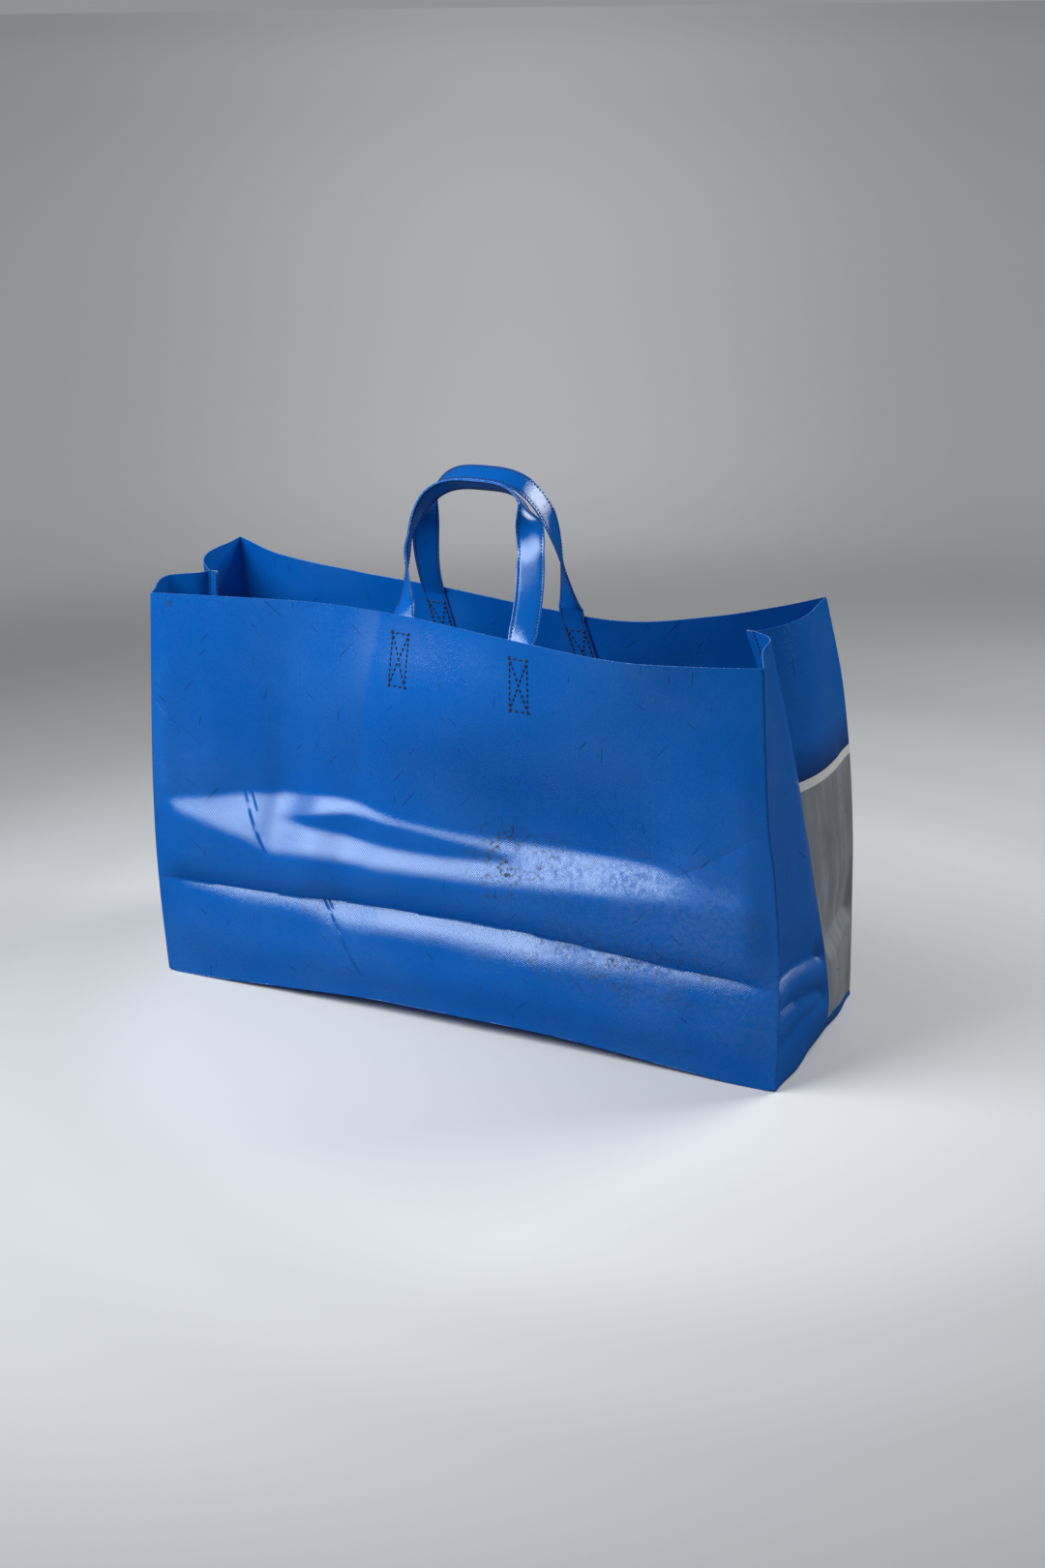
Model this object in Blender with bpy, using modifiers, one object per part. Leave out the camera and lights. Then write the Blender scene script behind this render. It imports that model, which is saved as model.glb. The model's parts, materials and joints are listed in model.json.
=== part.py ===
"""A reusable carrier bag sewn from two sheets of coated tarpaulin, with two strap handles.

The front sheet makes the front, the bottom and the front halves of the two gussets. The back
sheet makes the back and the back halves. They meet at one seam, which runs down the middle of
one gusset, along the foot of the back and up the other gusset, with both edges turned inwards.
"""
import math

import bmesh
import bpy
from mathutils import Vector

# Main sizes, in metres: X runs from left to right, Y from front to back, Z up
WIDTH = 0.560
DEPTH = 0.192
HEIGHT = 0.342
SHEET = 0.0008
CLEARANCE = 0.0006

# Upright folds: side is -1 left or 1 right, half is -1 front or 1 back
# Keys are (share of the height, how far the fold has moved along X)
CORNER_SWAY = {
    (-1, -1): ((0.0, 0.0), (0.28, -0.004), (0.52, -0.002), (0.78, 0.004), (1.0, 0.010)),
    (1, -1): ((0.0, 0.0), (0.28, 0.001), (0.52, -0.005), (0.65, -0.011), (1.0, -0.017)),
    (-1, 1): ((0.0, 0.0), (0.50, -0.006), (1.0, -0.026)),
    (1, 1): ((0.0, 0.0), (0.45, -0.005), (0.78, -0.018), (1.0, -0.036)),
}
CORNER_RIM_SHIFT = {(-1, -1): -0.001, (1, -1): -0.006, (-1, 1): 0.003, (1, 1): 0.009}

# Rim of each panel: (share of the width, how far it leans in, how far it dips)
FRONT_RIM = (
    (0.0, 0.0, 0.0),
    (0.10, 0.012, 0.0),
    (0.27, 0.027, 0.0),
    (0.42, 0.021, 0.0),
    (0.62, -0.004, 0.001),
    (0.80, -0.018, 0.003),
    (0.92, -0.008, 0.002),
    (1.0, 0.0, 0.0),
)
BACK_RIM = (
    (0.0, 0.0, 0.0),
    (0.12, 0.038, 0.002),
    (0.28, 0.055, 0.005),
    (0.44, 0.064, 0.008),
    (0.58, 0.074, 0.012),
    (0.74, 0.076, 0.016),
    (0.87, 0.056, 0.009),
    (0.95, 0.030, 0.003),
    (1.0, 0.0, 0.0),
)

# Gussets: how far the rim end of the seam is folded in and moved forwards
SEAM_FOLD = {-1: 0.015, 1: 0.055}
SEAM_FORWARD = {-1: 0.016, 1: 0.0125}
SEAM_FOLD_POWER = 2.3
# Bow of each half gusset at the rim, keyed on (share of the way from fold to seam, outward size)
GUSSET_BOW = {
    (-1, -1): (
        (0.0, 0.0), (0.15, 0.0045), (0.41, 0.0165), (0.66, 0.022), (0.78, 0.014), (0.88, 0.004), (1.0, 0.0),
    ),
    (1, -1): (
        (0.0, 0.0), (0.40, 0.001), (0.60, 0.005), (0.75, 0.0095), (0.83, 0.0105), (0.92, 0.008), (1.0, 0.0),
    ),
    (-1, 1): ((0.0, 0.0), (0.20, 0.005), (0.40, 0.013), (0.61, 0.0165), (0.80, 0.0125), (1.0, 0.0)),
    (1, 1): ((0.0, 0.0), (0.20, 0.004), (0.40, 0.0095), (0.62, 0.0125), (0.80, 0.0095), (1.0, 0.0)),
}
HIP_BULGE = 0.011
HIP_HEIGHT = 0.040

# Flattening creases across the front: the lower shoulder ends in a sharp valley
CREASE_HEIGHT = 0.089
LOWER_SHOULDER_START = 0.070
LOWER_SHOULDER_DEPTH = 0.013
CREASE_RECOVERY = 0.011
UPPER_SHOULDER_START = 0.129
UPPER_SHOULDER_END = 0.170
UPPER_SHOULDER_DEPTH = 0.019
UPPER_SHOULDER_FADE = (0.66, 0.95)
UPPER_SHOULDER_LOSS = 0.75
CREASE_END = 0.07
BACK_SHOULDER_DEPTH = 0.008
BACK_LEAN_POWER = 1.2
# The front also swells between the shoulders and the handles: size, place, height and reaches
CHEST_BULGE = 0.014
CHEST_ACROSS = 0.53
CHEST_HEIGHT = 0.268
CHEST_REACH = (0.36, 0.09)
FOOT_BULGE = 0.004

# Bottom: its front edge arches off the ground between the corners; spread is a share of the width
FRONT_LIFT = 0.011
LIFT_SPREAD = 0.4
LIFT_REACH = 0.10
LIFT_DEPTH = 0.060

# Seam: height where it leaves the gusset, height at the back, turned-in edge and its gap
SEAM_FOOT = 0.023
SEAM_TAIL = 0.004
SEAM_EDGE = 0.008
SEAM_GAP = 0.0007

# Straps: a folded band, two layers thick
STRAP_WIDTH = 0.022
STRAP_THICKNESS = 0.0016
STRAP_FOOT = 0.064
STRAP_RELEASE = 0.006
STRAP_TWIST_START = 0.013
STRAP_TWIST_RISE = 0.080
STRAP_GATHER = 0.6
# Each handle: how far its feet are to the right of the panel's middle, its rise over the rim,
# where the middle of its arch lies in X and Y, the arch's half span and squareness (2 is round),
# and how late each leg turns edge-on (over 1 late, under 1 early)
FRONT_HANDLE = {
    "feet": (-0.0442, 0.0750),
    "rise": 0.098,
    "top": (-0.001, -0.029),
    "half_span": 0.058,
    "squareness": 3.4,
    "twist": (0.6, 2.0),
}
BACK_HANDLE = {
    "feet": (-0.0487, 0.0868),
    "rise": 0.103,
    "top": (-0.007, -0.010),
    "half_span": 0.064,
    "squareness": 3.0,
    "twist": (2.0, 0.6),
}

# Threads
THREAD = 0.0006
BOX_WIDTH = 0.0165
BOX_HEIGHT = 0.0415
BOX_DROP = 0.016
SEAM_THREAD_INSET = 0.002

# Fineness of the mesh, the step for measuring slopes and the distance within which points merge
PANEL_COLUMNS = 26
GUSSET_COLUMNS = 6
STRAP_STEPS = 44
FOOT_STEPS = 5
BOX_STEPS = 5
ARCH_SAMPLES = 1760
SLOPE_STEP = 0.002
MERGE = 0.00001

# Finish
ROUGHNESS = 0.35
BLUE = (0.020, 0.105, 0.420)
THREAD_BLUE = (0.006, 0.016, 0.080)


def mix(start, end, share):
    return start + (end - start) * share


def lobe(distance, reach):
    """A smooth bump: 1 in the middle and 0 from reach outwards."""
    return 0.5 + 0.5 * math.cos(math.pi * min(abs(distance) / reach, 1.0))


def ease(value, start, end):
    """Rise smoothly from 0 at start to 1 at end."""
    share = min(max((value - start) / (end - start), 0.0), 1.0)
    return share * share * (3.0 - 2.0 * share)


def through(keys, place, column=1):
    """Read one column of a few keys as a smooth curve, by their first column."""
    places = [key[0] for key in keys]
    sizes = [key[column] for key in keys]
    last = len(keys) - 1
    slopes = []
    for i in range(last + 1):
        low, high = max(i - 1, 0), min(i + 1, last)
        slopes.append((sizes[high] - sizes[low]) / (places[high] - places[low]))
    place = min(max(place, places[0]), places[last])
    i = min(sum(1 for edge in places[1:last] if place > edge), last - 1)
    span = places[i + 1] - places[i]
    t = (place - places[i]) / span
    return (
        sizes[i] * (2 * t**3 - 3 * t**2 + 1)
        + slopes[i] * span * (t**3 - 2 * t**2 + t)
        + sizes[i + 1] * (3 * t**2 - 2 * t**3)
        + slopes[i + 1] * span * (t**3 - t**2)
    )


def corner(side, half, rise):
    """A point on an upright fold at a height up the sheet."""
    share = rise / HEIGHT
    x = side * WIDTH / 2 + through(CORNER_SWAY[side, half], share)
    y = half * DEPTH / 2 + CORNER_RIM_SHIFT[side, half] * share
    return Vector((x, y, rise))


def seam_middle(side, rise):
    """A point where a gusset's halves meet."""
    share = rise / HEIGHT
    x = side * (WIDTH / 2 - SEAM_FOLD[side] * share**SEAM_FOLD_POWER)
    return Vector((x, -SEAM_FORWARD[side] * share, rise))


def front_shoulders(across, rise):
    """How far the creases push the front inwards."""
    ends = ease(across, 0.0, CREASE_END) * ease(1.0 - across, 0.0, CREASE_END)
    fade = 1.0 - UPPER_SHOULDER_LOSS * ease(across, *UPPER_SHOULDER_FADE)
    inward = LOWER_SHOULDER_DEPTH * ends * ease(rise, LOWER_SHOULDER_START, CREASE_HEIGHT)
    inward -= CREASE_RECOVERY * ends * ease(rise, CREASE_HEIGHT, UPPER_SHOULDER_START)
    inward += UPPER_SHOULDER_DEPTH * ends * fade * ease(rise, UPPER_SHOULDER_START, UPPER_SHOULDER_END)
    chest = lobe(across - CHEST_ACROSS, CHEST_REACH[0]) * lobe(rise - CHEST_HEIGHT, CHEST_REACH[1])
    foot = ends * lobe(rise - LOWER_SHOULDER_START / 2, LOWER_SHOULDER_START / 2)
    return inward - CHEST_BULGE * chest - FOOT_BULGE * foot


def front_wall(across, rise):
    """The front panel's outer face."""
    left, right = corner(-1, -1, rise), corner(1, -1, rise)
    share = rise / HEIGHT
    above = max(rise - UPPER_SHOULDER_END, 0.0) / (HEIGHT - UPPER_SHOULDER_END)
    inward = front_shoulders(across, rise)
    inward += (through(FRONT_RIM, across) - front_shoulders(across, HEIGHT)) * above
    lift = FRONT_LIFT * ease(min(across, 1.0 - across), 0.0, LIFT_SPREAD)
    z = rise + lift * (1.0 - ease(rise, 0.0, LIFT_REACH)) - through(FRONT_RIM, across, 2) * share
    return Vector((mix(left.x, right.x, across), mix(left.y, right.y, across) + inward, z))


def back_wall(across, rise):
    """The back panel's outer face."""
    left, right = corner(-1, 1, rise), corner(1, 1, rise)
    share = rise / HEIGHT
    ends = ease(across, 0.0, CREASE_END) * ease(1.0 - across, 0.0, CREASE_END)
    fold = ease(rise, LOWER_SHOULDER_START, CREASE_HEIGHT) - ease(rise, CREASE_HEIGHT, UPPER_SHOULDER_END)
    inward = through(BACK_RIM, across) * share**BACK_LEAN_POWER + BACK_SHOULDER_DEPTH * ends * fold
    z = rise - through(BACK_RIM, across, 2) * share
    return Vector((mix(left.x, right.x, across), mix(left.y, right.y, across) - inward, z))


def gusset_wall(side, half, inwards, rise):
    """Half of a gusset's outer face, from its fold to the seam."""
    point = corner(side, half, rise).lerp(seam_middle(side, rise), inwards)
    bow = through(GUSSET_BOW[side, half], inwards) * (rise / HEIGHT) ** 2
    hip = HIP_BULGE * (rise / HIP_HEIGHT) * math.exp(1.0 - rise / HIP_HEIGHT)
    point.x += side * (bow + hip * math.sin(math.pi * inwards / 2) ** 2)
    return point


def back_half_ring(place, rise):
    """Outer face from the right seam round the back to the left seam; place runs 0 to 3."""
    if place <= 1.0:
        return gusset_wall(1, 1, 1.0 - place, rise)
    if place <= 2.0:
        return back_wall(2.0 - place, rise)
    return gusset_wall(-1, 1, place - 2.0, rise)


def front_half_ring(place, rise):
    """Outer face from the left seam round the front to the right seam; place runs 0 to 3."""
    if place <= 1.0:
        return gusset_wall(-1, -1, 1.0 - place, rise)
    if place <= 2.0:
        return front_wall(place - 1.0, rise)
    return gusset_wall(1, -1, place - 2.0, rise)


def seam_height(place):
    """How high the seam runs above the ground, along the back half ring."""
    along = min(place, 3.0 - place, 1.0)
    return mix(SEAM_FOOT, SEAM_TAIL, along)


def floor_point(across, back):
    """The bottom's outer face: across runs left to right, back runs front to back."""
    if back <= 0.5:
        left, right = gusset_wall(-1, -1, 2 * back, 0.0), gusset_wall(1, -1, 2 * back, 0.0)
    else:
        left, right = gusset_wall(-1, 1, 2 - 2 * back, 0.0), gusset_wall(1, 1, 2 - 2 * back, 0.0)
    point = left.lerp(right, across)
    point.z = front_wall(across, 0.0).z * (1.0 - ease(back * DEPTH, 0.0, LIFT_DEPTH))
    return point


def wall_levels():
    """Heights of the mesh rows: close together over the creases."""
    marks = [SEAM_FOOT, LOWER_SHOULDER_START, CREASE_HEIGHT, UPPER_SHOULDER_START, UPPER_SHOULDER_END, HEIGHT]
    steps = [2, 3, 3, 4, 5, 11]
    levels = [0.0]
    for mark, count in zip(marks, steps):
        start = levels[-1]
        levels += [mix(start, mark, (i + 1) / count) for i in range(count)]
    return levels


def ring_places():
    """Places of the mesh columns along a half ring."""
    gusset = [i / GUSSET_COLUMNS for i in range(GUSSET_COLUMNS)]
    panel = [1.0 + i / PANEL_COLUMNS for i in range(PANEL_COLUMNS)]
    return gusset + panel + [2.0 + place for place in gusset] + [3.0]


def add_grid(bm, columns, rows, place):
    """Add a grid whose vertices are put by place(column value, row value)."""
    made = bmesh.ops.create_grid(bm, x_segments=len(columns) - 1, y_segments=len(rows) - 1, size=0.5)
    for vert in made["verts"]:
        i = round((vert.co.x + 0.5) * (len(columns) - 1))
        j = round((vert.co.y + 0.5) * (len(rows) - 1))
        vert.co = place(columns[i], rows[j])


def seam_path():
    """Points of the seam and how the edges turn in there, from the right rim to the left rim."""
    levels = [level for level in wall_levels() if level >= SEAM_FOOT]
    path = [(back_half_ring(0.0, level), Vector((-1, 0, 0))) for level in reversed(levels)]
    for place in ring_places()[1:-1]:
        turn = Vector((0, 0, 0))
        turn.x = (place >= 2.0) - (place <= 1.0)
        turn.y = -1.0 * (1.0 <= place <= 2.0)
        path.append((back_half_ring(place, seam_height(place)), turn))
    path += [(back_half_ring(3.0, level), Vector((1, 0, 0))) for level in levels]
    return path


def seam_strip(offset):
    """For each seam point: its place and its turned-in edge, moved off the seam's middle."""
    path = seam_path()
    strip = []
    for i, (point, turn) in enumerate(path):
        before = path[max(i - 1, 0)][0]
        after = path[min(i + 1, len(path) - 1)][0]
        up_back = (after - before).cross(turn).normalized()
        moved = point - up_back * offset
        strip.append((moved, turn))
    return strip


def sheet_object(name, bm, outward_at, colour):
    """Give a folded surface its thickness on its inner side and make it an object."""
    bmesh.ops.remove_doubles(bm, verts=bm.verts, dist=MERGE)
    bmesh.ops.recalc_face_normals(bm, faces=bm.faces)
    probe = min(bm.faces, key=lambda face: (face.calc_center_median() - outward_at).length)
    if probe.normal.dot(outward_at) < 0:
        bmesh.ops.reverse_faces(bm, faces=bm.faces)
    obj = add_object(name, bm, colour)
    wall = obj.modifiers.new("Thickness", "SOLIDIFY")
    wall.thickness = SHEET
    wall.offset = -1.0
    wall.use_even_offset = True
    return obj


def add_object(name, bm, colour):
    """Turn a bmesh into a named object with its own material."""
    mesh = bpy.data.meshes.new(name)
    bm.to_mesh(mesh)
    bm.free()
    obj = bpy.data.objects.new(name, mesh)
    bpy.data.collections["carrier_bag"].objects.link(obj)
    give_material(obj, colour)
    return obj


def give_material(obj, colour):
    material = bpy.data.materials.new(obj.name)
    material.use_nodes = True
    shader = material.node_tree.nodes["Principled BSDF"]
    shader.inputs["Base Color"].default_value = (*colour, 1.0)
    shader.inputs["Roughness"].default_value = ROUGHNESS
    obj.data.materials.append(material)


def merge_seam(bm, strip):
    """Add the turned-in edge, and move the sheet's own edge to the same points."""
    middles = [point for point, turn in seam_path()]
    edge_verts = [vert for vert in bm.verts if vert.is_boundary]
    for middle, (moved, turn) in zip(middles, strip):
        for vert in edge_verts:
            if (vert.co - middle).length < MERGE:
                vert.co = moved
    add_grid(
        bm,
        list(range(len(strip))),
        [0.0, SEAM_EDGE],
        lambda i, width: strip[i][0] + strip[i][1] * width,
    )


def build_front_sheet():
    bm = bmesh.new()
    levels = wall_levels()
    add_grid(bm, ring_places(), levels, front_half_ring)
    low = [level / SEAM_FOOT for level in levels if level <= SEAM_FOOT + MERGE]
    add_grid(bm, ring_places(), low, lambda place, share: back_half_ring(place, share * seam_height(place)))
    backs = [i / (2 * GUSSET_COLUMNS) for i in range(2 * GUSSET_COLUMNS + 1)]
    acrosses = [i / PANEL_COLUMNS for i in range(PANEL_COLUMNS + 1)]
    add_grid(bm, acrosses, backs, floor_point)
    bmesh.ops.remove_doubles(bm, verts=bm.verts, dist=MERGE)
    merge_seam(bm, seam_strip(SEAM_GAP / 2))
    return sheet_object("front_sheet", bm, Vector((0.0, -DEPTH / 2, HEIGHT / 8)), BLUE)


def build_back_sheet():
    bm = bmesh.new()
    levels = [level for level in wall_levels() if level >= SEAM_FOOT]
    high = [(level - SEAM_FOOT) / (HEIGHT - SEAM_FOOT) for level in levels]
    add_grid(
        bm,
        ring_places(),
        high,
        lambda place, share: back_half_ring(place, mix(seam_height(place), HEIGHT, share)),
    )
    merge_seam(bm, seam_strip(-SEAM_GAP / 2))
    return sheet_object("back_sheet", bm, Vector((0.0, DEPTH / 2, HEIGHT / 2)), BLUE)


def panel_frame(wall, across, rise):
    """A point on a panel with its directions along the width, up, and into the bag."""
    point = wall(across, rise)
    along = (wall(across + SLOPE_STEP, rise) - wall(across - SLOPE_STEP, rise)).normalized()
    up = (wall(across, rise + SLOPE_STEP) - wall(across, rise - SLOPE_STEP)).normalized()
    inwards = up.cross(along).normalized()
    if inwards.y * point.y > 0:
        inwards.negate()
    return point, along, up, inwards


def foot_place(foot):
    """A foot's share of the way across its panel."""
    return 0.5 + foot / WIDTH


def foot_stations(wall, foot):
    """A strap's foot, flat on the inner side of its panel: (centre, direction of its width)."""
    stations = []
    for i in range(FOOT_STEPS, -1, -1):
        rise = HEIGHT - mix(STRAP_RELEASE, STRAP_FOOT, i / FOOT_STEPS)
        point, along, up, inwards = panel_frame(wall, foot_place(foot), rise)
        stations.append((point + inwards * (SHEET + CLEARANCE + STRAP_THICKNESS / 2), along))
    return stations


def even_arch(squareness, tallness):
    """Evenly spaced (side, level) points over an arch: side runs -1 to 1, level 0 to 1 to 0."""
    points = []
    for i in range(ARCH_SAMPLES + 1):
        turn = math.pi * ease(i, 0, ARCH_SAMPLES)
        side = -math.copysign(abs(math.cos(turn)) ** (2.0 / squareness), math.cos(turn))
        points.append((side, abs(math.sin(turn)) ** (2.0 / squareness)))
    runs = [0.0]
    for (side, level), (next_side, next_level) in zip(points, points[1:]):
        runs.append(runs[-1] + math.hypot(next_side - side, tallness * (next_level - level)))
    even = []
    for i in range(1, STRAP_STEPS):
        wanted = runs[-1] * i / STRAP_STEPS
        even.append(points[min(range(ARCH_SAMPLES + 1), key=lambda k: abs(runs[k] - wanted))])
    return even


def strap_stations(wall, handle):
    """A whole strap, from its left foot over the arch to its right foot."""
    left, right = (foot_stations(wall, foot) for foot in handle["feet"])
    start, end = left[-1][0], right[-1][0]
    top = Vector((*handle["top"], HEIGHT + handle["rise"]))
    slope = top - start.lerp(end, 0.5)
    across_top = Vector((0, -slope.z, slope.y)).normalized()
    if wall is back_wall:
        across_top.negate()
    arch = []
    for side, level in even_arch(handle["squareness"], handle["rise"] / handle["half_span"]):
        lowest, along = left[-1] if side < 0 else right[-1]
        upright_x = start.lerp(end, (side + 1.0) / 2).x
        x = mix(upright_x, top.x + side * handle["half_span"], ease(level, 0.0, STRAP_GATHER))
        z = mix(lowest.z, top.z, level)
        risen = min(max((z - lowest.z - STRAP_TWIST_START) / STRAP_TWIST_RISE, 0.0), 1.0)
        twist = math.pi / 2 * risen ** handle["twist"][side > 0]
        width = along * math.cos(twist) + across_top * math.sin(twist) * (1.0 if side < 0 else -1.0)
        arch.append((Vector((x, mix(lowest.y, top.y, level), z)), width))
    return left + arch + right[::-1]


def build_strap(name, wall, handle):
    stations = strap_stations(wall, handle)
    centres = [centre for centre, width in stations]
    widths = []
    for i, (centre, width) in enumerate(stations):
        run = (centres[min(i + 1, len(centres) - 1)] - centres[max(i - 1, 0)]).normalized()
        square = (width - run * width.dot(run)).normalized()
        if widths and square.dot(widths[-1]) < 0:
            square.negate()
        widths.append(square)
    bm = bmesh.new()
    add_grid(
        bm,
        list(range(len(stations))),
        [-0.5, 0.0, 0.5],
        lambda i, share: centres[i] + widths[i] * share * STRAP_WIDTH,
    )
    obj = add_object(name, bm, BLUE)
    band = obj.modifiers.new("Thickness", "SOLIDIFY")
    band.thickness = STRAP_THICKNESS
    band.offset = 0.0
    band.use_even_offset = True
    obj.data.shade_smooth()
    return obj


def build_box_stitch(name, wall, foot):
    """A sewn box with crossed diagonals, as one thin plate that follows its panel."""
    half_w, half_h, line = BOX_WIDTH / 2, BOX_HEIGHT / 2, THREAD
    slope = math.hypot(BOX_WIDTH, BOX_HEIGHT)
    gap_x = line / 2 * slope / BOX_HEIGHT
    gap_y = line / 2 * slope / BOX_WIDTH
    in_w, in_h = half_w - line, half_h - line
    rims = [
        [(-half_w, -half_h), (half_w, -half_h), (half_w, half_h), (-half_w, half_h)],
        [(-in_w + gap_x, in_h), (in_w - gap_x, in_h), (0, gap_y)],
        [(-in_w + gap_x, -in_h), (0, -gap_y), (in_w - gap_x, -in_h)],
        [(-in_w, in_h - gap_y), (-gap_x, 0), (-in_w, -in_h + gap_y)],
        [(in_w, in_h - gap_y), (in_w, -in_h + gap_y), (gap_x, 0)],
    ]
    curve = bpy.data.curves.new(name, "CURVE")
    curve.dimensions = "2D"
    curve.fill_mode = "BOTH"
    curve.extrude = line / 2
    for rim in rims:
        spline = curve.splines.new("POLY")
        spline.points.add(len(rim) - 1)
        for point, (x, y) in zip(spline.points, rim):
            point.co = (x, y, 0.0, 1.0)
        spline.use_cyclic_u = True
    flat = bpy.data.objects.new(name, curve)
    bpy.context.scene.collection.objects.link(flat)
    mesh = bpy.data.meshes.new_from_object(flat.evaluated_get(bpy.context.evaluated_depsgraph_get()))
    bpy.data.objects.remove(flat)
    bm = bmesh.new()
    bm.from_mesh(mesh)
    bmesh.ops.remove_doubles(bm, verts=bm.verts, dist=MERGE)
    for i in range(1, BOX_STEPS):
        cut = Vector((0.0, mix(-half_h, half_h, i / BOX_STEPS), 0.0))
        whole = bm.verts[:] + bm.edges[:] + bm.faces[:]
        bmesh.ops.bisect_plane(bm, geom=whole, dist=MERGE / 10, plane_co=cut, plane_no=Vector((0, 1, 0)))
    rise = HEIGHT - BOX_DROP - half_h
    for vert in bm.verts:
        point, along, up, inwards = panel_frame(wall, foot_place(foot + vert.co.x), rise + vert.co.y)
        vert.co = point - inwards * (CLEARANCE + line / 2 + vert.co.z)
    if bm.calc_volume(signed=True) < 0:
        bmesh.ops.reverse_faces(bm, faces=bm.faces)
    return add_object(name, bm, THREAD_BLUE)


def build_seam_thread(name, first, last, side):
    """A run of seam thread, lying on one face of the turned-in edge."""
    offset = side * (SEAM_GAP / 2 + SHEET + CLEARANCE + THREAD / 2)
    points = [point + turn * SEAM_THREAD_INSET for point, turn in seam_strip(offset)[first:last]]
    curve = bpy.data.curves.new(name, "CURVE")
    curve.dimensions = "3D"
    curve.bevel_depth = THREAD / 2
    curve.bevel_resolution = 1
    curve.use_fill_caps = True
    spline = curve.splines.new("POLY")
    spline.points.add(len(points) - 1)
    for point, place in zip(spline.points, points):
        point.co = (*place, 1.0)
    obj = bpy.data.objects.new(name, curve)
    bpy.data.collections["carrier_bag"].objects.link(obj)
    give_material(obj, THREAD_BLUE)
    return obj


def main():
    for obj in list(bpy.data.objects):
        bpy.data.objects.remove(obj)
    collection = bpy.data.collections.new("carrier_bag")
    bpy.context.scene.collection.children.link(collection)
    build_front_sheet()
    build_back_sheet()
    build_strap("front_handle", front_wall, FRONT_HANDLE)
    build_strap("back_handle", back_wall, BACK_HANDLE)
    for label, wall, handle in (("front", front_wall, FRONT_HANDLE), ("back", back_wall, BACK_HANDLE)):
        for side, foot in zip(("left", "right"), handle["feet"]):
            build_box_stitch(f"{label}_{side}_box_stitch", wall, foot)
    upright = sum(1 for level in wall_levels() if level >= SEAM_FOOT)
    total = len(seam_path())
    build_seam_thread("right_seam_thread", 0, upright - 1, 1)
    build_seam_thread("bottom_seam_thread", upright + 1, total - upright - 1, -1)
    build_seam_thread("left_seam_thread", total - upright + 1, total, 1)


main()
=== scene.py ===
"""Looks of a reusable carrier bag sewn from two sheets of coated tarpaulin.

Each sheet is a fine mesh over the folds, creases and dents of the bag as it stands, with the
flat cut's own coordinates as its UV map, so that the weave, the scuffs and the fields of colour
lie in the sheet. The straps are double bands, and every stitch is a thread of its own.
"""

import json
import math

import bmesh
import bpy
import numpy as np
from mathutils import Matrix, Vector
from mathutils.kdtree import KDTree

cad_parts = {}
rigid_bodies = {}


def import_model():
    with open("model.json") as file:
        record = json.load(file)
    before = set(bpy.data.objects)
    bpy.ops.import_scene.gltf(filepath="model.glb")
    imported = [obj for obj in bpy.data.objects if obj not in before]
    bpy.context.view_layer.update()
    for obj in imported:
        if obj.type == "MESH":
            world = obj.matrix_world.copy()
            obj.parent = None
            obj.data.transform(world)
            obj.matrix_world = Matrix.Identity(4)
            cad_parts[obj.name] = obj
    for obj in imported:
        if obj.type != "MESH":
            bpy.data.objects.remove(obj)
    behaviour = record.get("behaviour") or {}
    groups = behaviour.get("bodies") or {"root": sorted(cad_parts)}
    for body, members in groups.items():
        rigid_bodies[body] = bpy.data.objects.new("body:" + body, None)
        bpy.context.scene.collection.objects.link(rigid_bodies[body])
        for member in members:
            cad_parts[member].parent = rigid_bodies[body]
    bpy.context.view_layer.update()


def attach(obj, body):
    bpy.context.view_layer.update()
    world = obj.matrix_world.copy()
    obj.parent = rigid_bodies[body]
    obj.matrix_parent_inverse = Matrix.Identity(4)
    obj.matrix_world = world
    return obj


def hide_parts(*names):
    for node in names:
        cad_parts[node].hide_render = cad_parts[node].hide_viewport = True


bl_info = {
    "name": "Tarpaulin Carrier Bag",
    "version": (1, 0, 0),
    "blender": (4, 5, 0),
    "location": "3D View > Sidebar > Carrier Bag",
    "description": "Makes a sewn carrier bag of coated tarpaulin with two strap handles",
    "category": "Add Mesh",
}

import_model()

# Camera: its place in metres, its turn in radians, its lens and sensor in millimetres
CAMERA_PLACE = (0.74946, -1.53006, 0.80590)
CAMERA_PITCH = 0.35148650
CAMERA_YAW = 0.44470035
CAMERA_ROLL = -0.01310839
CAMERA_LENS = 50.0
CAMERA_SENSOR = 36.0

# Upright folds: side is -1 left or 1 right, half is -1 front or 1 back
# Keys are (share of the height, how far the fold has moved along X)
CORNER_SWAY = {
    (-1, -1): ((0.0, 0.0), (0.28, -0.004), (0.52, -0.002), (0.78, 0.004), (1.0, 0.010)),
    (1, -1): ((0.0, 0.0), (0.28, 0.001), (0.52, -0.005), (0.65, -0.011), (1.0, -0.017)),
    (-1, 1): ((0.0, 0.0), (0.50, -0.006), (1.0, -0.026)),
    (1, 1): ((0.0, 0.0), (0.45, -0.005), (0.78, -0.018), (1.0, -0.036)),
}
CORNER_RIM_SHIFT = {(-1, -1): -0.001, (1, -1): -0.006, (-1, 1): 0.003, (1, 1): 0.009}

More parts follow.
